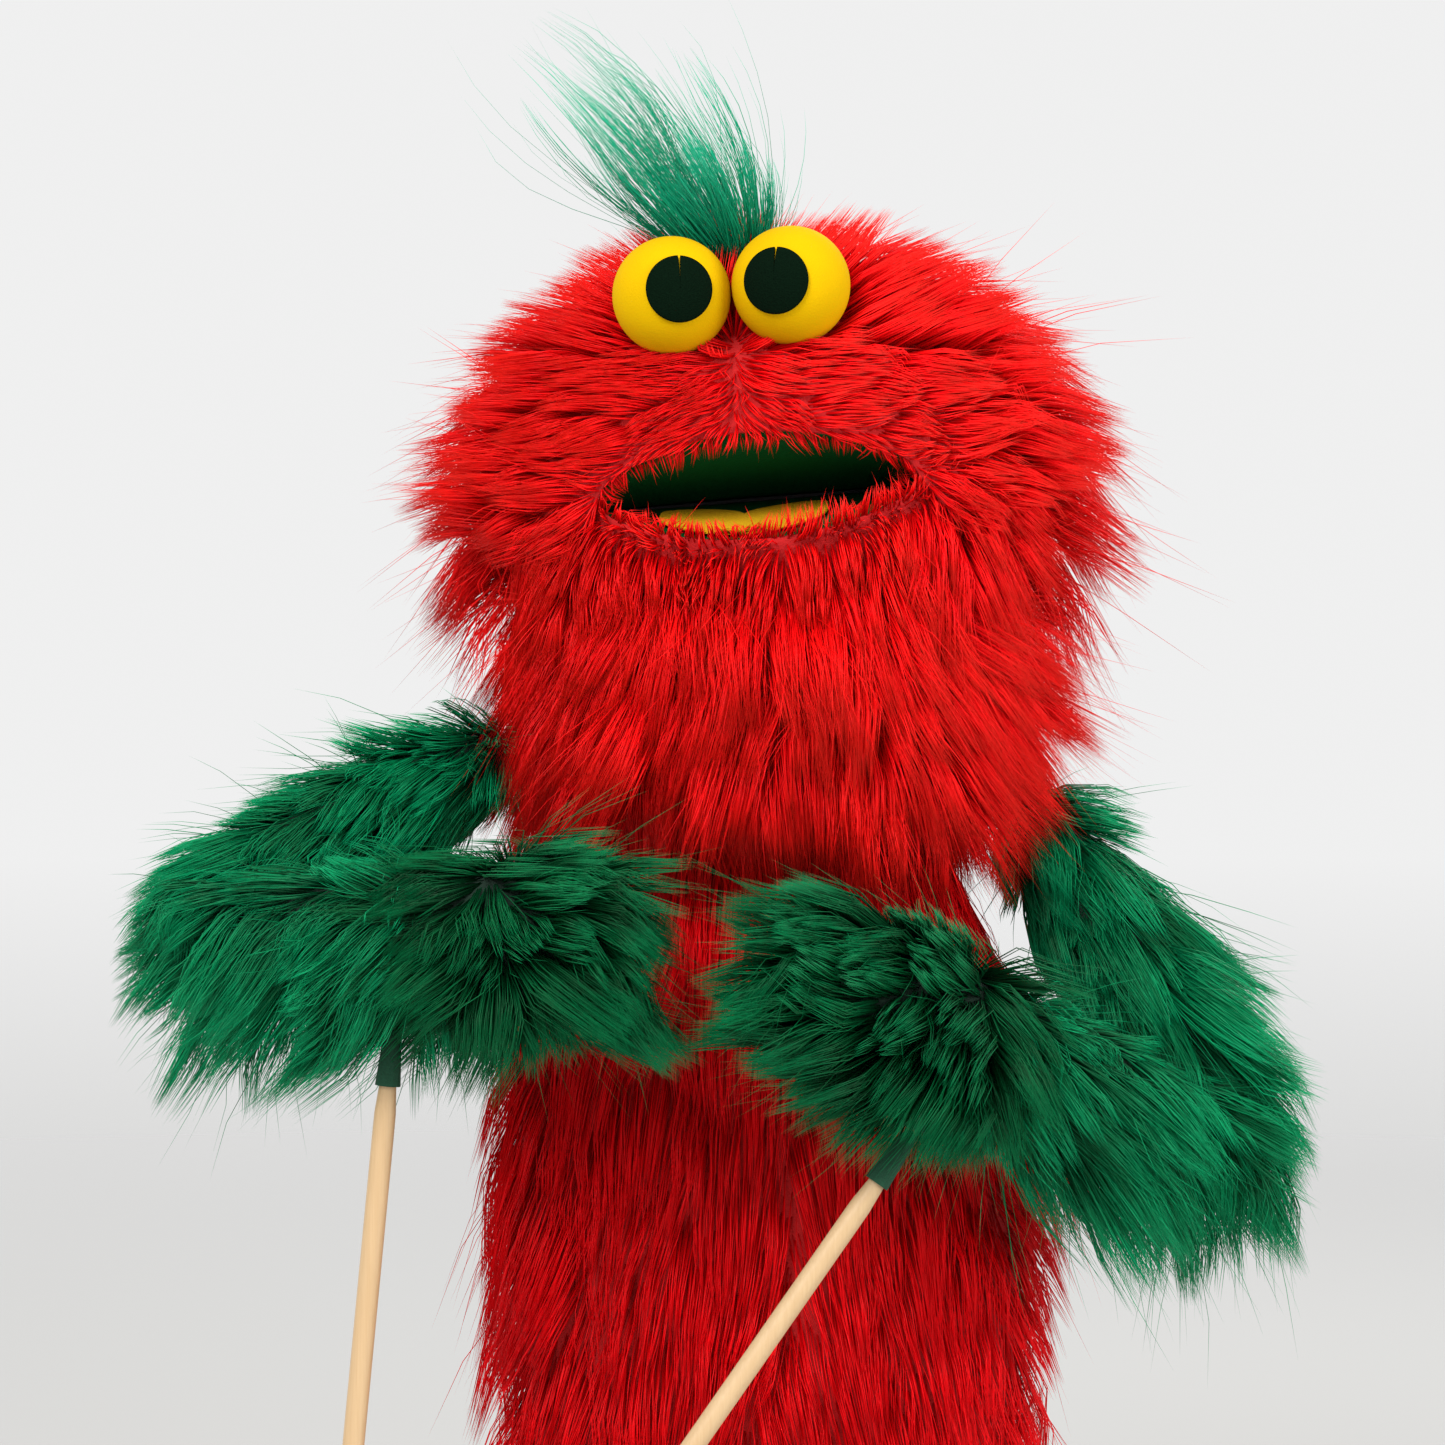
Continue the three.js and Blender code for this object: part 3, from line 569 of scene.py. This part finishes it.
def below_lip(at):
    """How far a place on the chin lies under the lip's edge."""
    aside = np.abs(at[:, 0])
    line = np.sqrt(np.clip(1 - (aside / MOUTH_HALF_WIDTH) ** 2, 0, 1))
    edge = 8 * np.clip((aside - MOUTH_HALF_WIDTH) / 0.02, 0, 1) - MOUTH_ANGLE * line
    here = np.degrees(np.arctan2(at[:, 2], -at[:, 1]))
    return np.hypot(at[:, 1], at[:, 2]) * np.radians(edge - here)


def jaw_comb(places, facing):
    at, out = in_head(places), facing @ HEAD_TURN
    down = np.clip((below_lip(at) - 0.001) / 0.009, 0, 1)
    way = np.stack([2.5 * at[:, 0], -0.55 + 0.35 * down, 0.55 - 1.65 * down], axis=1)
    return from_head(lie_down(way, out, 0.12))


def jaw_long(places, facing):
    return 0.015 + 0.044 * np.clip(below_lip(in_head(places)) / 0.035, 0, 1)


grow(
    "jaw_coat", jaw_skin, 17000, jaw_comb, jaw_long, red_fur, "jaw", 12,
    width=0.0008, gather=(0.3, 0.2), stray=0.18, rise=0.6,
)

# ---- Beard ----------------------------------------------------------------------------------------
# A bib of the longest red fur, on its own strip of backing. It is sewn round the throat and hangs over the
# chest and shoulders.

beard_low, beard_high = (np.array(corner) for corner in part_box("beard_fur"))


def throat(name, half_width, depth, bottom, top, columns, rows):
    """The bib's backing: part of an upright oval tube, open behind."""
    bpy.ops.object.select_all(action="DESELECT")
    bpy.ops.mesh.primitive_grid_add(x_subdivisions=columns, y_subdivisions=rows, size=2)
    piece = bpy.context.object
    piece.name = name
    for vertex in piece.data.vertices:
        turn, up = vertex.co.x * math.radians(128), (vertex.co.y + 1) / 2
        swell = 1 + 0.10 * math.sin(up * math.pi)
        x = half_width * swell * math.sin(turn)
        vertex.co = (x, -depth * swell * math.cos(turn), bottom + (top - bottom) * up)
    return finish_sheet(piece, BACKING)


beard_skin = throat("beard_skin", 0.088, 0.078, beard_low[2] + 0.035, beard_high[2] + 0.018, 48, 16)
put_on(beard_skin, red_backing)
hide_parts("beard_fur")
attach(beard_skin, "head")


def beard_comb(places, facing):
    x = places[:, 0]
    way = np.stack([1.6 * x + 0.35 * (x > 0.055), 0.1 * facing[:, 1], -1.0 + 0 * x], axis=1)
    return unit(unit(way) + 0.22 * facing)


def beard_long(places, facing):
    return 0.062 + 0 * places[:, 0]


grow(
    "beard_coat", beard_skin, 24000, beard_comb, beard_long, red_fur, "head", 13,
    width=0.00065, gather=(0.35, 0.3), stray=0.14, ragged=0.3, rise=0.5,
)

# ---- Sleeve ---------------------------------------------------------------------------------------
# The body is one sleeve of fur fabric with its pile hanging straight down, lined with cotton and bound
# at the hem.

body_low, body_high = (np.array(corner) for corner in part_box("body_fur"))
PILE_DEPTH = 0.017  # from the solid's outside, the tips of the pile, in to the backing
BODY_PROFILE = [(0.0, 0.955), (0.35, 1.0), (0.58, 0.985), (0.73, 0.88), (0.87, 0.72), (1.0, 0.62)]
BODY_DEPTHS = [(0.0, 0.62), (0.69, 0.57), (1.0, 0.48)]


def body_size(up, inset):
    width = np.interp(up, *zip(*BODY_PROFILE)) * body_high[0] - inset
    return width, width * np.interp(up, *zip(*BODY_DEPTHS))


def tube(name, inset, bottom, top):
    """An upright oval tube that hangs in soft folds, widest near the hem and narrow at the neck."""
    bpy.ops.object.select_all(action="DESELECT")
    bpy.ops.mesh.primitive_cylinder_add(vertices=6, radius=1, depth=2, end_fill_type="NOTHING")
    piece = bpy.context.object
    piece.name = name
    cuts = piece.modifiers.new("rows", "SUBSURF")
    cuts.subdivision_type = "SIMPLE"
    cuts.levels = cuts.render_levels = 5
    bpy.ops.object.modifier_apply(modifier="rows")
    for vertex in piece.data.vertices:
        up = (vertex.co.z + 1) / 2
        z = bottom + (top - bottom) * up
        share = (z - body_low[2]) / (body_high[2] - body_low[2])
        width, depth = body_size(share, inset)
        turn = math.atan2(vertex.co.y, vertex.co.x)
        fold = 0.0012 * math.sin(9 * turn + 2 * math.sin(7 * share)) * (1 - 0.6 * share)
        vertex.co = ((width + fold) * math.cos(turn), (depth + fold) * math.sin(turn), z)
    return finish_sheet(piece, BACKING)


body_skin = tube("body_skin", PILE_DEPTH, body_low[2], body_high[2])
put_on(body_skin, red_backing)
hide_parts("body_fur")
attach(body_skin, "sleeve")


def body_comb(places, facing):
    way = np.stack([1.2 * places[:, 0], 1.2 * places[:, 1], -1.0 + 0 * places[:, 0]], axis=1)
    return unit(unit(way) + 0.10 * facing)


def body_long(places, facing):
    return 0.060 + 0 * places[:, 0]


# A darker copy of the red fur: the sleeve is the same fabric as the head, so its lower colours are painted
# shade, besides the painted shade at the roots and painted highlight at the tips.
body_fur = fur_look(
    "body_fur",
    root=(0.45, 0, 0.001),
    dark=(0.66, 0, 0.002),
    light=(0.87, 0, 0.004),
    tip=(0.90, 0.002, 0.006),
)
grow(
    "body_coat", body_skin, 30400, body_comb, body_long, body_fur, "sleeve", 14,
    width=0.0007, gather=(0.3, 0.35), stray=0.08, ragged=0.3, wave=0.03, rise=0.5,
)

# ---- Arms -----------------------------------------------------------------------------------------
# Each arm is a lightly stuffed tube of green fur, stitched flat at the elbow so that it bends there, with a
# round stuffed paw at its end. The pile is long and hangs off the arms in ragged locks.


def limb(name, start, end, flat, stations):
    """A stuffed tube from start to end. stations are (share of the way, half width, half thickness)."""
    bpy.ops.object.select_all(action="DESELECT")
    bpy.ops.mesh.primitive_uv_sphere_add(segments=28, ring_count=24, radius=1)
    piece = bpy.context.object
    piece.name = name
    along = (end - start).normalized()
    side = (flat - along * flat.dot(along)).normalized()
    third = along.cross(side)
    reach = (end - start).length
    for vertex in piece.data.vertices:
        share = (1 - vertex.co.z) / 2
        turn = math.atan2(vertex.co.y, vertex.co.x)
        width = np.interp(share, [s[0] for s in stations], [s[1] for s in stations])
        depth = np.interp(share, [s[0] for s in stations], [s[2] for s in stations])
        near_end = min(share, 1 - share) / 0.10
        cap = min(1.0, math.sqrt(max(0.0, 1 - (1 - min(near_end, 1)) ** 2)))
        vertex.co = (
            start
            + along * (reach * share)
            + side * (width * cap * math.cos(turn))
            + third * (depth * cap * math.sin(turn))
        )
    return finish_sheet(piece, 0)


def pivot(name):
    return Vector(joints[name]["pos_m"])


# root is painted shade deep in the pile, and tip is a painted highlight on the outer ends.
green_fur = fur_look(
    "green_fur",
    root=(0, 0.008, 0.002),
    dark=(0, 0.075, 0.022),
    light=(0, 0.26, 0.094),
    tip=(0.001, 0.40, 0.155),
)
# A darker copy of the arms' green pile: the paws' darker colours are painted shade, besides the painted shade
# at the roots and painted highlight at the tips.
paw_fur = fur_look(
    "paw_fur",
    root=(0, 0.004, 0.001),
    dark=(0, 0.032, 0.008),
    light=(0, 0.11, 0.032),
    tip=(0, 0.26, 0.085),
)
green_backing = backing_look("green_backing", (0, 0.008, 0.003), (0, 0.02, 0.008))
PAW_ENDS = {"left": (0.118, 0.216), "right": (0.108, 0.200)}  # from the elbow
for side, sign in (("left", 1), ("right", -1)):
    shoulder = pivot(f"{side}_shoulder_raise")
    elbow = pivot(f"{side}_elbow_bend")
    fold = Vector(joints[f"{side}_elbow_bend"]["axis"])
    paw_low, paw_high = (Vector(corner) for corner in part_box(f"{side}_paw_fur"))
    paw_middle = (paw_low + paw_high) / 2
    fore = (paw_middle - elbow).normalized()
    down_arm = (elbow - shoulder).normalized()

    upper_skin = limb(
        f"{side}_upper_arm_skin",
        shoulder + down_arm * 0.008,
        elbow - down_arm * 0.002,
        fold,
        [
            (0, 0.014, 0.010),
            (0.35, 0.022, 0.020),
            (0.65, 0.022, 0.019),
            (0.82, 0.022, 0.010),
            (1, 0.024, 0.0022),
        ],
    )
    fore_skin = limb(
        f"{side}_forearm_skin",
        elbow + fore * 0.002,
        elbow + fore * 0.125,
        fold,
        [(0, 0.024, 0.0022), (0.25, 0.022, 0.009), (0.6, 0.022, 0.017), (1, 0.021, 0.019)],
    )
    paw_skin = limb(
        f"{side}_paw_skin",
        elbow + fore * PAW_ENDS[side][0],
        elbow + fore * PAW_ENDS[side][1],
        fold,
        [(0, 0.018, 0.018), (0.3, 0.025, 0.022), (0.6, 0.028, 0.024), (1, 0.024, 0.021)],
    )
    away = np.array((0.10, -0.10, 0)) if side == "left" else np.array((0.04, -0.12, 0))
    paw_lead = 0.45 if side == "left" else 0.10
    down_way, back_way, fore_way = np.array(down_arm), -np.array(fore), np.array(fore)
    middle = np.array(paw_middle)

    def upper_comb(places, facing):
        lift = np.where(facing[:, :1] * sign < 0, 0.02, 0.16)
        return lie_down(down_way + away + np.array((0, 0, -0.35)) + 0 * facing, facing, lift)

    def upper_long(places, facing):
        far = np.clip((places - np.array(shoulder)) @ down_way / (elbow - shoulder).length, 0, 1)
        inner = np.clip(-facing[:, 0] * sign, 0, 1)
        elbow_pile = 0.018 if side == "left" else -0.020
        return (0.052 + elbow_pile * far) * (1 - 0.6 * inner)

    def fore_comb(places, facing):
        lift = np.where(facing[:, 2:] < 0, 0.22, 0.05)
        return lie_down(0.8 * back_way + 0.2 * away + np.array((0, 0, -0.75)) + 0 * facing, facing, lift)

    def fore_long(places, facing):
        far = np.clip((places - np.array(elbow)) @ fore_way / 0.12, 0, 1)
        near_elbow = 0.0 if side == "left" else 0.016 * (1 - far)
        above = 0.018 if side == "left" else 0.0
        under = 0.024 * np.clip(-facing[:, 2], 0, 1)
        return 0.046 + under - above * np.clip(facing[:, 2], 0, 1) - near_elbow

    def paw_comb(places, facing):
        out = unit(places - middle)
        out = out - 0.8 * (out * facing).sum(axis=1)[:, None] * facing
        way = 0.9 * out + paw_lead * fore_way + np.array((0, 0, -0.35))
        return lie_down(way, facing, 0.12)

    def paw_long(places, facing):
        return 0.040 + 0.008 * np.clip(-facing[:, 2], 0, 1)

    coats = [
        ("upper_arm", upper_skin, 8200, upper_comb, upper_long, 21, green_fur),
        ("forearm", fore_skin, 6400, fore_comb, fore_long, 22, green_fur),
        ("paw", paw_skin, 9000, paw_comb, paw_long, 23, paw_fur),
    ]
    for name, skin, count, comb, length, seed, look in coats:
        body = f"{side}_upper_arm" if name == "upper_arm" else f"{side}_forearm"
        put_on(skin, green_backing)
        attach(skin, body)
        grow(
            f"{side}_{name}_coat", skin, count, comb, length, look, body, seed + 20 * (sign < 0),
            width=0.00075, rings=2 if name == "paw" else 3, rise=0.7 if name == "paw" else 0.3,
            gather=(0.4, 0.5), stray=0.22, wave=0.08, ragged=0.45, loose=0.05,
        )
    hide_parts(f"{side}_upper_arm_fur", f"{side}_upper_arm_stuffing")
    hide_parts(f"{side}_forearm_fur", f"{side}_forearm_stuffing")
    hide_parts(f"{side}_paw_fur", f"{side}_paw_stuffing")

# ---- Hair tuft ------------------------------------------------------------------------------------
# A pinch of the longest green pile, gathered on a small knot of backing. It is sewn to a cloth tab behind
# the eyes and combed up and to one side.

KNOT = 0.009  # radius of the knot of backing
tab_low, tab_high = (np.array(corner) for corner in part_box("tuft_tab"))
tuft_foot = np.array([(tab_low[0] + tab_high[0]) / 2, (tab_low[1] + tab_high[1]) / 2, tab_high[2]])
bpy.ops.object.select_all(action="DESELECT")
bpy.ops.mesh.primitive_uv_sphere_add(segments=20, ring_count=12, radius=KNOT, location=tuft_foot)
tuft_skin = bpy.context.object
tuft_skin.name = "tuft_skin"
bpy.ops.object.transform_apply(location=True, rotation=True, scale=True)
put_on(tuft_skin, green_backing)
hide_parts("hair_tuft")
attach(tuft_skin, "head")


def tuft_comb(places, facing):
    spread = (places - tuft_foot)[:, 0] / KNOT
    depth = (places - tuft_foot)[:, 1] / KNOT
    return unit(np.stack([-0.62 + 0.30 * spread, 0.12 * depth, 0.75 + 0.12 * spread], axis=1))


def tuft_long(places, facing):
    return 0.094 + 0 * places[:, 0]


# root is painted shade deep in the pile, and tip is a painted highlight on the outer ends.
tuft_fur = fur_look(
    "tuft_fur",
    root=(0, 0.08, 0.03),
    dark=(0, 0.19, 0.09),
    light=(0.004, 0.40, 0.21),
    tip=(0.01, 0.50, 0.29),
)
grow(
    "tuft_coat", tuft_skin, 3000, tuft_comb, tuft_long, tuft_fur, "head", 31,
    width=0.0005, rings=6, rise=1.5, gather=(0.5, 0.45), stray=0.15, wave=0.16, ragged=0.55, loose=0.12,
    keep=lambda places, facing: facing[:, 2] > 0.45,
)

# ---- Eyes -----------------------------------------------------------------------------------------
# Two firm foam balls, glued side by side on the brow. Their pupils are discs of black felt, each cut with
# one slit at the top and lapped there, so that it cups the ball.

PUPIL_RADIUS = 0.0132
PUPIL_FELT = 0.0011
HALF_SLIT = 0.028  # radians
foam_look = Look("yellow_foam", roughness=0.85, Specular_IOR_Level=0.05)
pores = foam_look.noise(1500, detail=2)
grain = foam_look.noise(60, detail=2)
foam_look.wear(
    Base_Color=foam_look.mix(grain, (0.58, 0.345, 0.0002), (0.64, 0.39, 0.0003)),
    Normal=foam_look.bump(pores, 0.0004, 0.5),
)
pupil_look = Look("black_felt", roughness=1.0, Specular_IOR_Level=0.04)
nap = pupil_look.noise(1400, detail=4)
pupil_look.wear(
    Base_Color=pupil_look.mix(nap, (0.0006, 0.003, 0.0012), (0.002, 0.010, 0.004)),
    Normal=pupil_look.bump(nap, 0.0006),
)
for side in ("left", "right"):
    low, high = (Vector(corner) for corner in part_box(f"{side}_eye"))
    middle = (low + high) / 2
    bpy.ops.object.select_all(action="DESELECT")
    bpy.ops.mesh.primitive_uv_sphere_add(segments=96, ring_count=64, radius=EYE_RADIUS, location=middle)
    ball = bpy.context.object
    ball.name = f"{side}_eye_ball"
    bpy.ops.object.shade_smooth()
    bpy.ops.object.transform_apply(location=True, rotation=True, scale=True)
    put_on(ball, foam_look)
    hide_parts(f"{side}_eye")
    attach(ball, "head")

    disc_low, disc_high = (Vector(corner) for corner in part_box(f"{side}_pupil"))
    gaze = ((disc_low + disc_high) / 2 - middle).normalized()
    right = Vector((0, 0, 1)).cross(gaze).normalized()
    top = gaze.cross(right)
    bpy.ops.object.select_all(action="DESELECT")
    bpy.ops.mesh.primitive_grid_add(x_subdivisions=120, y_subdivisions=14, size=2)
    disc = bpy.context.object
    disc.name = f"{side}_pupil_disc"
    spread = math.asin(PUPIL_RADIUS / EYE_RADIUS)
    for vertex in disc.data.vertices:
        turn = math.pi / 2 + (vertex.co.x + 1) * math.pi
        out = (vertex.co.y + 1) / 2
        radius = EYE_RADIUS + 0.0013 + 0.0002 * out
        polar = spread * max(out, 0.01)
        near = 1 - min(abs(abs(vertex.co.x) - 1) / 0.05, 1)
        turn -= math.copysign(HALF_SLIT, vertex.co.x) * near * (0.35 + out)
        way = gaze * math.cos(polar) + (right * math.cos(turn) + top * math.sin(turn)) * math.sin(polar)
        vertex.co = middle + way * radius
    finish_sheet(disc, PUPIL_FELT)
    put_on(disc, pupil_look)
    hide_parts(f"{side}_pupil")
    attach(disc, "head")

# ---- Mouth lining ---------------------------------------------------------------------------------
# Green felt is glued over both mouth boards. The two palates meet at the mouth's corners and along the
# hinge, and their front edges tuck under the fur of the lips.

PALATE_FELT = 0.0012
LOWER_CROWN = 1.2  # power by which the lower palate rises from the hinge
felt_look = Look("green_felt", roughness=1.0, Specular_IOR_Level=0.05)
felt_nap = felt_look.noise(700, detail=5)
felt_cloud = felt_look.noise(40, detail=2)
felt_green = felt_look.mix(felt_nap, (0.002, 0.05, 0.012), (0.004, 0.10, 0.022))
felt_look.wear(
    Base_Color=felt_look.mix(felt_cloud, felt_green, (0.003, 0.075, 0.018)),
    Normal=felt_look.bump(felt_nap, 0.0008),
)


def palate_height(x, y, rim, crown):
    """How far a palate stands off the mouth's middle plane. It grows forwards by the power crown."""
    angle = math.radians(MOUTH_ANGLE * (0.06 + 0.94 * mouth_line(x)))
    return rim * math.tan(angle) * (max(y, 0) / rim) ** crown


def palate(name, sign, rim, crown):
    """A sheet of felt from the hinge to the lip, above the middle plane or below it by sign."""
    back = 0.004
    bpy.ops.object.select_all(action="DESELECT")
    bpy.ops.mesh.primitive_grid_add(x_subdivisions=60, y_subdivisions=24, size=2)
    piece = bpy.context.object
    piece.name = name
    for vertex in piece.data.vertices:
        u, v = vertex.co.x, (vertex.co.y + 1) / 2
        x = 0.071 * math.sin(u * math.pi / 2)
        far = rim(x)
        y = back + (far - back) * v
        vertex.co = (x, -y, sign * palate_height(x, y, far, crown))
    return finish_sheet(piece, PALATE_FELT, HEAD)


def rim_of(half_width, radius):
    """How far the lip is from the hinge, by x."""
    return lambda x: radius * math.sqrt(1 - (x / half_width) ** 2) * 0.955


upper_felt = palate("upper_felt", 1, rim_of(SKIN_HALF_WIDTH, SKIN_RADIUS), 1.0)
lower_rim = rim_of(JAW_SKIN_HALF_WIDTH, JAW_SKIN_RADIUS)
lower_felt = palate("lower_felt", -1, lower_rim, LOWER_CROWN)
for felt, body in ((upper_felt, "head"), (lower_felt, "jaw")):
    put_on(felt, felt_look)
    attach(felt, body)
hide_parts("upper_palate_felt")
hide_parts("lower_palate_felt")

# ---- Tongue ---------------------------------------------------------------------------------------
# One piece of yellow felt, cut round in front and with two lobes towards the throat. It is tacked flat to
# the lower palate.

TONGUE_FELT = 0.0014
TONGUE_MIDDLE = -0.008
TONGUE_HALF_WIDTH = 0.036
tongue_look = Look("yellow_felt", roughness=1.0, Specular_IOR_Level=0.1)
tongue_nap = tongue_look.noise(800, detail=5)
tongue_look.wear(
    Base_Color=tongue_look.mix(tongue_nap, (0.52, 0.27, 0.004), (0.76, 0.42, 0.007)),
    Normal=tongue_look.bump(tongue_nap, 0.0007),
)


def tongue_half_width(y):
    """Half the tongue's width at a distance from the hinge."""
    share = (y - 0.036) / 0.046
    return TONGUE_HALF_WIDTH * math.sqrt(max(0.0, 1 - max(0.0, (share - 0.35) / 0.65) ** 2.2))


bpy.ops.object.select_all(action="DESELECT")
bpy.ops.mesh.primitive_grid_add(x_subdivisions=56, y_subdivisions=36, size=2)
tongue = bpy.context.object
tongue.name = "tongue_felt"
for vertex in tongue.data.vertices:
    u, v = vertex.co.x, (vertex.co.y + 1) / 2
    lobe = 0.018 * math.sqrt(max(0.0, 1 - ((abs(u) * TONGUE_HALF_WIDTH - 0.018) / 0.0182) ** 2))
    back = 0.052 - lobe
    y = back + (0.084 - back) * v
    x = TONGUE_MIDDLE + tongue_half_width(y) * math.sin(u * math.pi / 2)
    vertex.co = (x, -y, 2 * TONGUE_FELT - palate_height(x, y, lower_rim(x), LOWER_CROWN))
finish_sheet(tongue, TONGUE_FELT, HEAD)
put_on(tongue, tongue_look)
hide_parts("tongue")
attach(tongue, "jaw")

# ---- Rods -----------------------------------------------------------------------------------------
# Plain hardwood dowels, each turned to a blunt point that is pushed into a cloth pocket under the paw. The
# puppeteer's other hand holds the far ends.

DOWEL_RADIUS = 0.0045
POINT_RADIUS = 0.0018
POINT_LENGTH = 0.034
mounts = {mount["name"]: mount for mount in frame["record"]["mounts"]}
wood_look = Look("dowel", roughness=0.5)
rings_wide = wood_look.noise(26, detail=5, stretch=(6, 6, 0.35))
rings_fine = wood_look.noise(190, detail=3, stretch=(6, 6, 0.12))
wood_look.wear(
    Base_Color=wood_look.mix(
        rings_fine * 0.6,
        wood_look.mix(rings_wide, (0.56, 0.37, 0.19), (0.66, 0.48, 0.28)),
        (0.42, 0.25, 0.11),
    ),
    Normal=wood_look.bump(rings_fine, 0.0002, 0.4),
)
for side in ("left", "right"):
    tip = pivot(f"{side}_rod_pivot")
    foot = Vector(mounts[f"{side}_rod_end"]["pos_m"])
    down = (foot - tip).normalized()
    reach = (foot - tip).length
    bpy.ops.object.select_all(action="DESELECT")
    bpy.ops.mesh.primitive_cylinder_add(vertices=48, radius=DOWEL_RADIUS, depth=reach, end_fill_type="NGON")
    dowel = bpy.context.object
    dowel.name = f"{side}_dowel"
    shaft = bmesh.new()
    shaft.from_mesh(dowel.data)
    long_edges = [edge for edge in shaft.edges if abs(edge.verts[0].co.z - edge.verts[1].co.z) > 0.1]
    bmesh.ops.subdivide_edges(shaft, edges=long_edges, cuts=47)
    shaft.to_mesh(dowel.data)
    shaft.free()
    for vertex in dowel.data.vertices:
        from_tip = reach / 2 - vertex.co.z
        taper = POINT_RADIUS + (DOWEL_RADIUS - POINT_RADIUS) * min(max(from_tip / POINT_LENGTH, 0), 1)
        share = taper / DOWEL_RADIUS
        vertex.co.x *= share
        vertex.co.y *= share
    rim = dowel.modifiers.new("rim", "BEVEL")
    rim.width = 0.0005
    rim.segments = 3
    rim.limit_method = "ANGLE"
    bpy.ops.object.modifier_apply(modifier="rim")
    bpy.ops.object.shade_smooth_by_angle(angle=math.radians(35))
    turn = down.to_track_quat("-Z", "Y").to_matrix().to_4x4()
    turn.translation = tip + down * (reach / 2)
    dowel.data.transform(turn)
    put_on(dowel, wood_look)
    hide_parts(f"{side}_arm_rod")
    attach(dowel, f"{side}_rod")

# ---- Pieces inside --------------------------------------------------------------------------------
# Open foam for the skull, chin and neck, stiff boards in the mouth, elastic straps for the fingers and the
# thumb, and a cotton lining, binding and tabs. They are glued or sewn under the fur, and show from below.


def cloth_look(name, dark, light, scale=1100):
    """Plain woven cloth, foam or board: a fine grain at scale, with faint wide patches."""
    look = Look(name, roughness=0.9)
    weave = look.noise(scale, detail=2)
    patch = look.noise(30, detail=2)
    return look.wear(
        Base_Color=look.mix(patch * 0.5, look.mix(weave, dark, light), dark),
        Normal=look.bump(weave, 0.0004),
    )


cotton_look = cloth_look("red_cotton", (0.10, 0.004, 0.005), (0.20, 0.009, 0.010))
green_cotton_look = cloth_look("green_cotton", (0.003, 0.04, 0.018), (0.006, 0.08, 0.036))
elastic_look = cloth_look("black_elastic", (0.008, 0.008, 0.009), (0.03, 0.03, 0.032))
skull_look = cloth_look("open_foam", (0.42, 0.38, 0.28), (0.70, 0.65, 0.52), scale=420)
board_look = cloth_look("mouth_board", (0.018, 0.018, 0.018), (0.035, 0.035, 0.035), scale=260)
dressed = {
    "body_lining": cotton_look,
    "hem_binding": cotton_look,
    "neck_cuff": cotton_look,
    "neck_foam_ring": skull_look,
    "head_foam": skull_look,
    "jaw_foam": skull_look,
    "upper_mouth_plate": board_look,
    "lower_mouth_plate": board_look,
    "finger_strap": elastic_look,
    "thumb_strap": elastic_look,
    "mouth_hinge_tape": elastic_look,
    "tuft_tab": green_cotton_look,
    "left_elbow_stitching": elastic_look,
    "right_elbow_stitching": elastic_look,
}
for side in ("left", "right"):
    for name in ("shoulder_tab", "rod_tab", "rod_pocket"):
        dressed[f"{side}_{name}"] = green_cotton_look
for name, look in dressed.items():
    put_on(bpy.data.objects[name], look)
